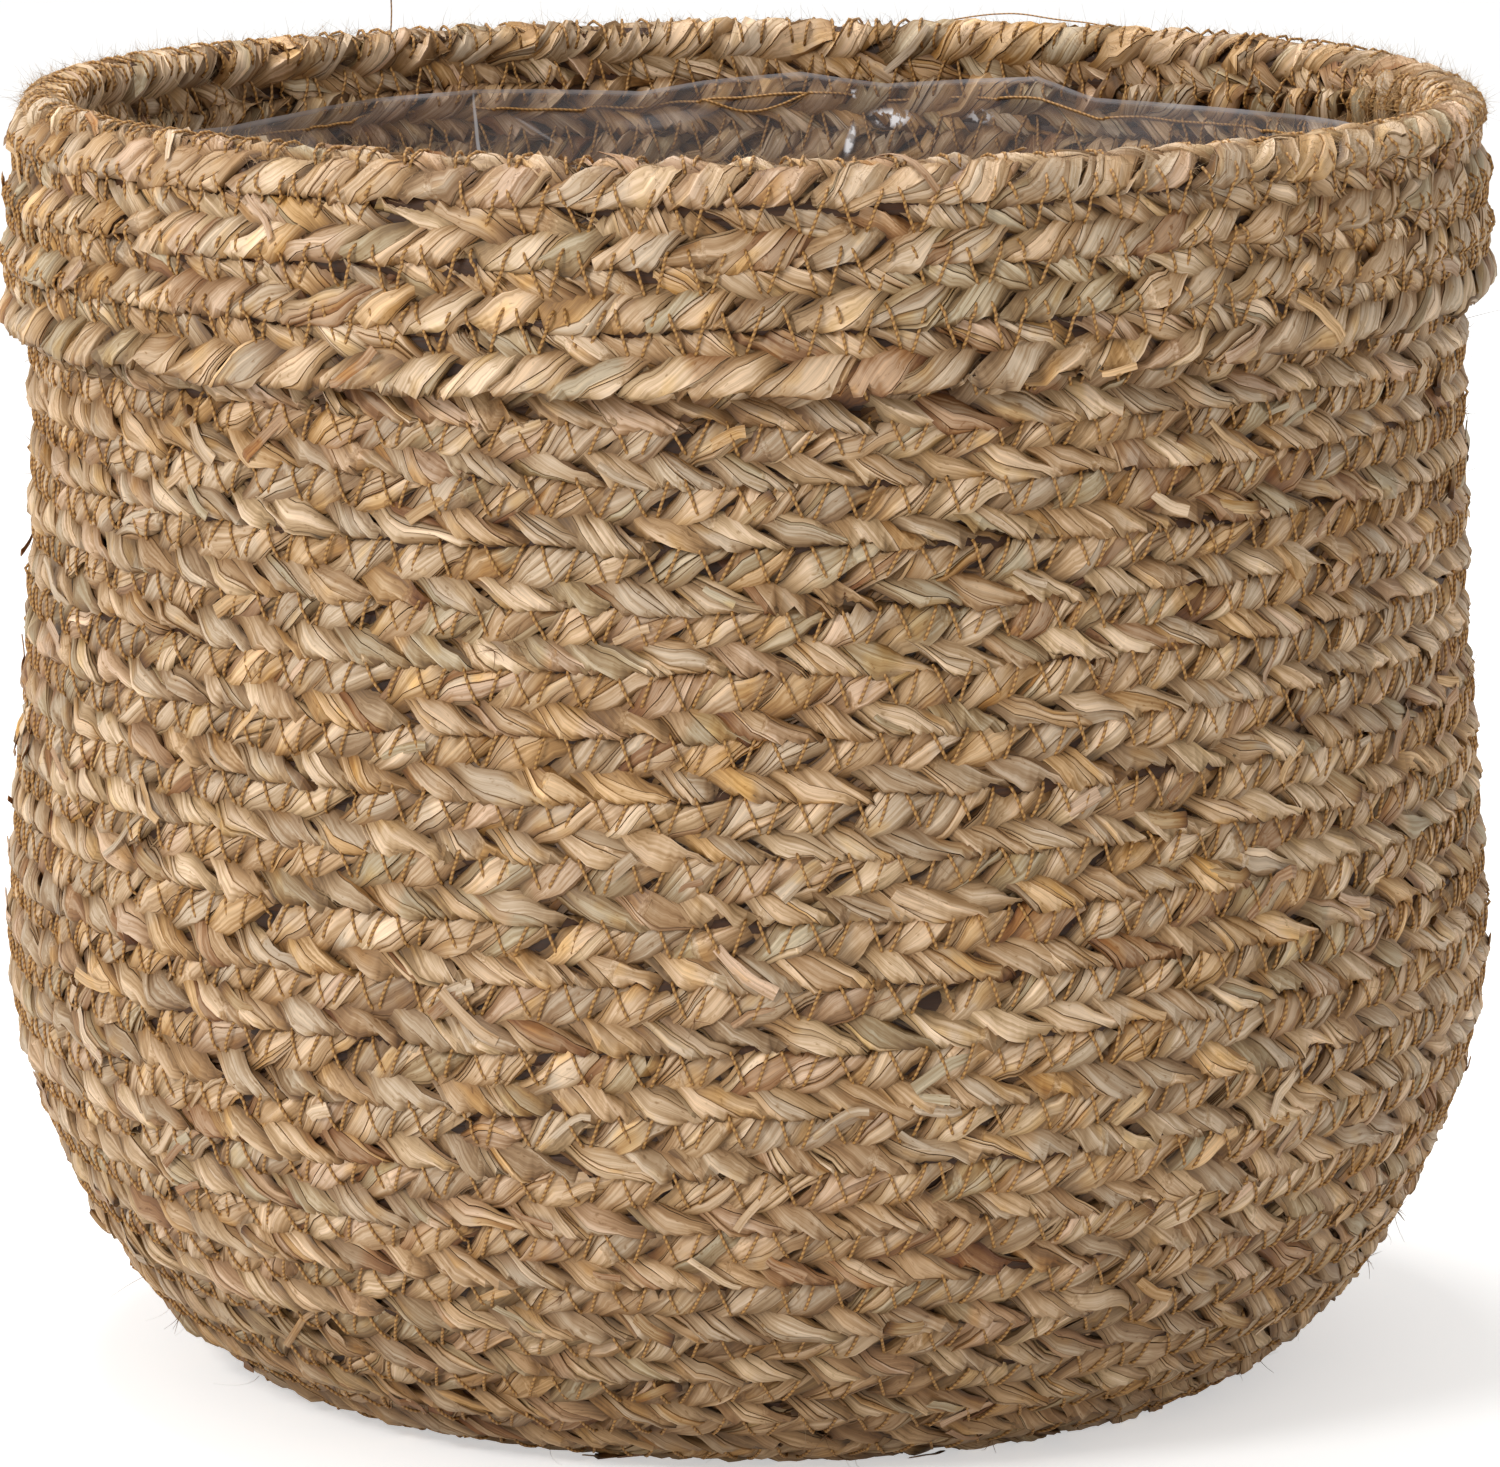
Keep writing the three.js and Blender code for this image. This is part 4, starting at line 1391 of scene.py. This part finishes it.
# cut leaf ends that stick out of the plait
def makeLooseEnds(name, count, firstBack, lastBack, face, seed, node):
    rng = np.random.default_rng(seed)
    parts = []
    for number, (length, strand) in enumerate(topPlaces(count, rng, firstBack, lastBack, face)):
        size = rng.uniform(*looseEnd["length"])
        t = np.linspace(0, 1, 7)
        along = length + rng.choice([-1, 1]) * (t - 0.45) * size
        middle = foldOver(strandPath(along, strand)[1])[0]
        aside = rng.uniform(-looseEnd["stray"], looseEnd["stray"]) * mm
        turn = rng.uniform(-looseEnd["turn"], looseEnd["turn"])
        across = middle + aside + turn * (t - 0.3) * size
        back = backAt(along)
        ground = surfaceHeight(back, across, face)
        lift = np.clip(t - looseEnd["liftFrom"], 0, 1) ** 1.5 * rng.uniform(*looseEnd["lift"]) * mm
        height = np.maximum(ground, np.mean(ground)) + looseEnd["clear"] + lift
        height[:2] -= looseEnd["tuck"]
        width = rng.uniform(*looseEnd["width"]) * (1 - looseEnd["narrow"] * (1 - t) ** 2)
        width = width * (1 + looseEnd["ragged"] * rng.uniform(-1, 1, len(t)))
        tone = palette[rng.integers(len(palette))] * rng.uniform(*looseEnd["light"])
        points, outward = onBasket(back, across, face * height), outwardAt(back, across, face)
        parts.append(strip(points, outward, width, looseEnd["thickness"], tone, number * 3.1))
    addPiece(name, parts, node, math.radians(leafSection["sharpEdge"]))


makeLooseEnds("looseEndsWall", 190, wallStart, wallEnd + 3.5, 1, 801, "wall_plait")
makeLooseEnds("looseEndsCuff", 34, wallEnd - 0.2, 0.1, -1, 802, "cuff_plait")

# length is in mm; curl is how far a hair leaves the straight way out
hairs = {
    "hairsWall": {
        "count": 420, "length": (3, 11), "radius": 0.075 * mm, "curl": 1.1,
        "tone": (0.42, 0.29, 0.16), "seed": 812,
    },
    "hairsRim": {
        "count": 900, "length": (1.2, 4.5), "radius": 0.05 * mm, "curl": 1.0,
        "tone": (0.50, 0.36, 0.20), "seed": 813,
    },
    "hairsFuzz": {  # mm past the start of the fold
        "count": 5200, "length": (1.2, 4.0), "radius": 0.06 * mm, "curl": 0.9,
        "tone": (0.42, 0.28, 0.15), "seed": 815, "past": (1, 7.5), "sink": 0.2 * mm,
    },
    "hairsFrayed": {  # middle and spread in degrees, and mm below the wall's top
        "count": 260, "length": (3, 8), "radius": 0.09 * mm, "curl": 1.3,
        "tone": (0.50, 0.31, 0.13), "seed": 816, "degrees": (13, 4.5), "below": (1, 13), "sink": 0.3 * mm,
    },
    "tufts": {
        "count": 46, "each": 9, "length": (2, 5), "radius": 0.16 * mm, "curl": 1.6,
        "tone": (0.30, 0.17, 0.08), "seed": 814,
    },
}
hair = {
    "steps": 6,
    "sides": 3,
    "bend": 0.55,                 # how far its end leaves its first way, in lengths
    "taper": 0.7,                 # share of its radius lost at its end
    "light": (0.75, 1.15),
    "lowest": 0.3 * mm,
    "highest": basket["height"] + 7 * mm,
}


# thin bent hairs from places on the plait; each is a tapering tube
def growHairs(name, back, across, face, node, lengthRng):
    look = hairs[name]
    height = surfaceHeight(back, across, face) - look.get("sink", 0)
    starts = onBasket(back, across, face * height)
    outwards = outwardAt(back, across, face)
    count, steps, sides = len(starts), hair["steps"], hair["sides"]
    lengths = lengthRng.uniform(*look["length"], count) * mm
    rng = np.random.default_rng(look["seed"])
    way = outwards + look["curl"] * rng.normal(size=(count, 3))
    way /= np.linalg.norm(way, axis=1, keepdims=True)
    bend = rng.normal(size=(count, 3)) * hair["bend"]
    t = np.linspace(0, 1, steps)[None, :, None]
    points = starts[:, None, :] + lengths[:, None, None] * (t * way[:, None, :] + t * t * bend[:, None, :])
    points[..., 2] = np.clip(points[..., 2], hair["lowest"], hair["highest"])
    side = np.cross(way, rng.normal(size=(count, 3)))
    side /= np.linalg.norm(side, axis=1, keepdims=True)
    up = np.cross(side, way)
    around = np.linspace(0, fullTurn, sides, endpoint=False)[None, None, :, None]
    taper = (look["radius"] * (1 - hair["taper"] * t))[..., None]
    rings = np.cos(around) * side[:, None, None, :] + np.sin(around) * up[:, None, None, :]
    rings = points[:, :, None, :] + taper * rings
    quads, caps = tubeFaces(steps, sides)
    first = (np.arange(count) * steps * sides)[:, None, None]
    shade = np.repeat(rng.uniform(*hair["light"], count), steps * sides)
    total = count * steps * sides
    part = {
        "points": rings.reshape(-1, 3), "tubes": count, "sides": sides,
        "quads": (quads[None] + first).reshape(-1, 4),
        "caps": [cap + offset for offset in first.ravel() for cap in caps],
        "tone": np.broadcast_to(look["tone"], (total, 3)),
        "shade": shade,
        "grain": np.zeros((total, 3)) + shade[:, None],
    }
    addPiece(name, [part], node)


def makeLooseHairs():
    rng = np.random.default_rng(811)
    count = hairs["hairsWall"]["count"]
    back, across = rng.uniform(wallEnd + 3, wallStart, count), rng.uniform(-0.5, 0.5, count) * pitch
    growHairs("hairsWall", back, across, 1, "wall_plait", rng)

    count = hairs["hairsRim"]["count"]
    back, across = rng.uniform(wallEnd - 0.9, wallEnd + 0.35, count), rng.uniform(-0.5, 0.5, count) * pitch
    growHairs("hairsRim", back, across, -1, "cuff_plait", rng)

    # fuzz over the fold
    fuzz = hairs["hairsFuzz"]
    foldStart = profile["foldEnd"] - math.pi * (basket["plaitThickness"] + basket["foldGap"]) / 2
    rng.uniform(size=fuzz["count"])  # keeps the draws after it as they are
    s = foldStart + rng.uniform(*fuzz["past"], fuzz["count"]) * mm
    evenBack = (tailPlace - s) / pitch
    back = rng.uniform(evenBack - 0.5, evenBack + 0.5)
    growHairs("hairsFuzz", back, s - tailPlace + back * pitch, -1, "cuff_plait", rng)

    # a frayed place inside the rim, on the right
    frayed = hairs["hairsFrayed"]
    angle = np.radians(rng.normal(*frayed["degrees"], frayed["count"]))
    s = profile["wallTop"] - rng.uniform(*frayed["below"], frayed["count"]) * mm
    back = (angle - math.pi / 2) / fullTurn
    back = back + np.round((tailPlace - s) / pitch - back)
    growHairs("hairsFrayed", back, s - tailPlace + back * pitch, -1, "cuff_plait", rng)

    count, each = hairs["tufts"]["count"], hairs["tufts"]["each"]
    places = topPlaces(count, rng, wallStart, wallEnd + 3.5, 1)
    back = np.repeat(backAt(np.array([length for length, strand in places])), each)
    across = np.repeat(rng.uniform(-0.3, 0.3, count) * pitch, each)
    growHairs("tufts", back, across, 1, "wall_plait", rng)


makeLooseHairs()
print("loose ends and hairs made")

# the photograph's viewing angle; distances in metres
camera = {"elevation": 10.29, "distance": 2.1985, "aim": 0.170, "lens": 191.82, "shift": (0.0013, -0.0018)}
lens = bpy.data.cameras.new("camera")
lens.lens = camera["lens"]
lens.sensor_width = 36
lens.shift_x, lens.shift_y = camera["shift"]
view = bpy.data.objects.new("camera", lens)
lean = math.radians(camera["elevation"])
view.location = (0, -camera["distance"] * math.cos(lean), camera["aim"] + camera["distance"] * math.sin(lean))
view.rotation_euler = (math.pi / 2 - lean, 0, 0)
bpy.context.scene.collection.objects.link(view)
bpy.context.scene.camera = view

studio = {
    "keyLight": {"place": (-1.5, -1.8, 1.7), "size": 0.8, "power": 33},
    "topLight": {"place": (-0.3, 0.3, 2.3), "size": 1.0, "power": 36},
    "aim": (0, 0, 0.15),
    "world": 0.54,
    "floorReach": 6.0,
    "floorColour": (0.86, 0.86, 0.85, 1),
    "floorRoughness": 0.8,
    "floorGlow": (0.10, 0.5),     # for the light on the basket, and for the camera
}
white = (1, 1, 1, 1)


def addLight(name):
    lamp = bpy.data.lights.new(name, "AREA")
    lamp.shape = "DISK"
    lamp.size = studio[name]["size"]
    lamp.energy = studio[name]["power"]
    made = bpy.data.objects.new(name, lamp)
    made.location = studio[name]["place"]
    towards = np.array(studio["aim"]) - np.array(studio[name]["place"])
    made.rotation_euler = (
        math.atan2(math.hypot(towards[0], towards[1]), -towards[2]),
        0,
        math.atan2(towards[1], towards[0]) - math.pi / 2,
    )
    bpy.context.scene.collection.objects.link(made)


addLight("keyLight")
addLight("topLight")

world = bpy.data.worlds.new("studio")
world.use_nodes = True
sky = world.node_tree.nodes["Background"]
sky.inputs["Color"].default_value = white
sky.inputs["Strength"].default_value = studio["world"]
bpy.context.scene.world = world
bpy.context.scene.view_settings.view_transform = "Standard"


def makeFloor():
    reach = studio["floorReach"]
    mesh = bpy.data.meshes.new("studioFloor")
    corners = [(-reach, -reach, 0), (reach, -reach, 0), (reach, reach, 0), (-reach, reach, 0)]
    mesh.from_pydata(corners, [], [(0, 1, 2, 3)])
    floor = bpy.data.objects.new("studioFloor", mesh)
    made, tree, shader = newMaterial("paleFloor")
    shader.inputs["Base Color"].default_value = studio["floorColour"]
    shader.inputs["Roughness"].default_value = studio["floorRoughness"]
    shader.inputs["Emission Color"].default_value = white
    seen = addNode(tree, "ShaderNodeLightPath", (-400, -200)).outputs["Is Camera Ray"]
    glow = addRemap(tree, seen, 0, 1, *studio["floorGlow"], (-200, -200))
    tree.links.new(glow, shader.inputs["Emission Strength"])
    mesh.materials.append(made)
    bpy.context.scene.collection.objects.link(floor)


makeFloor()
print("camera, light and floor set")
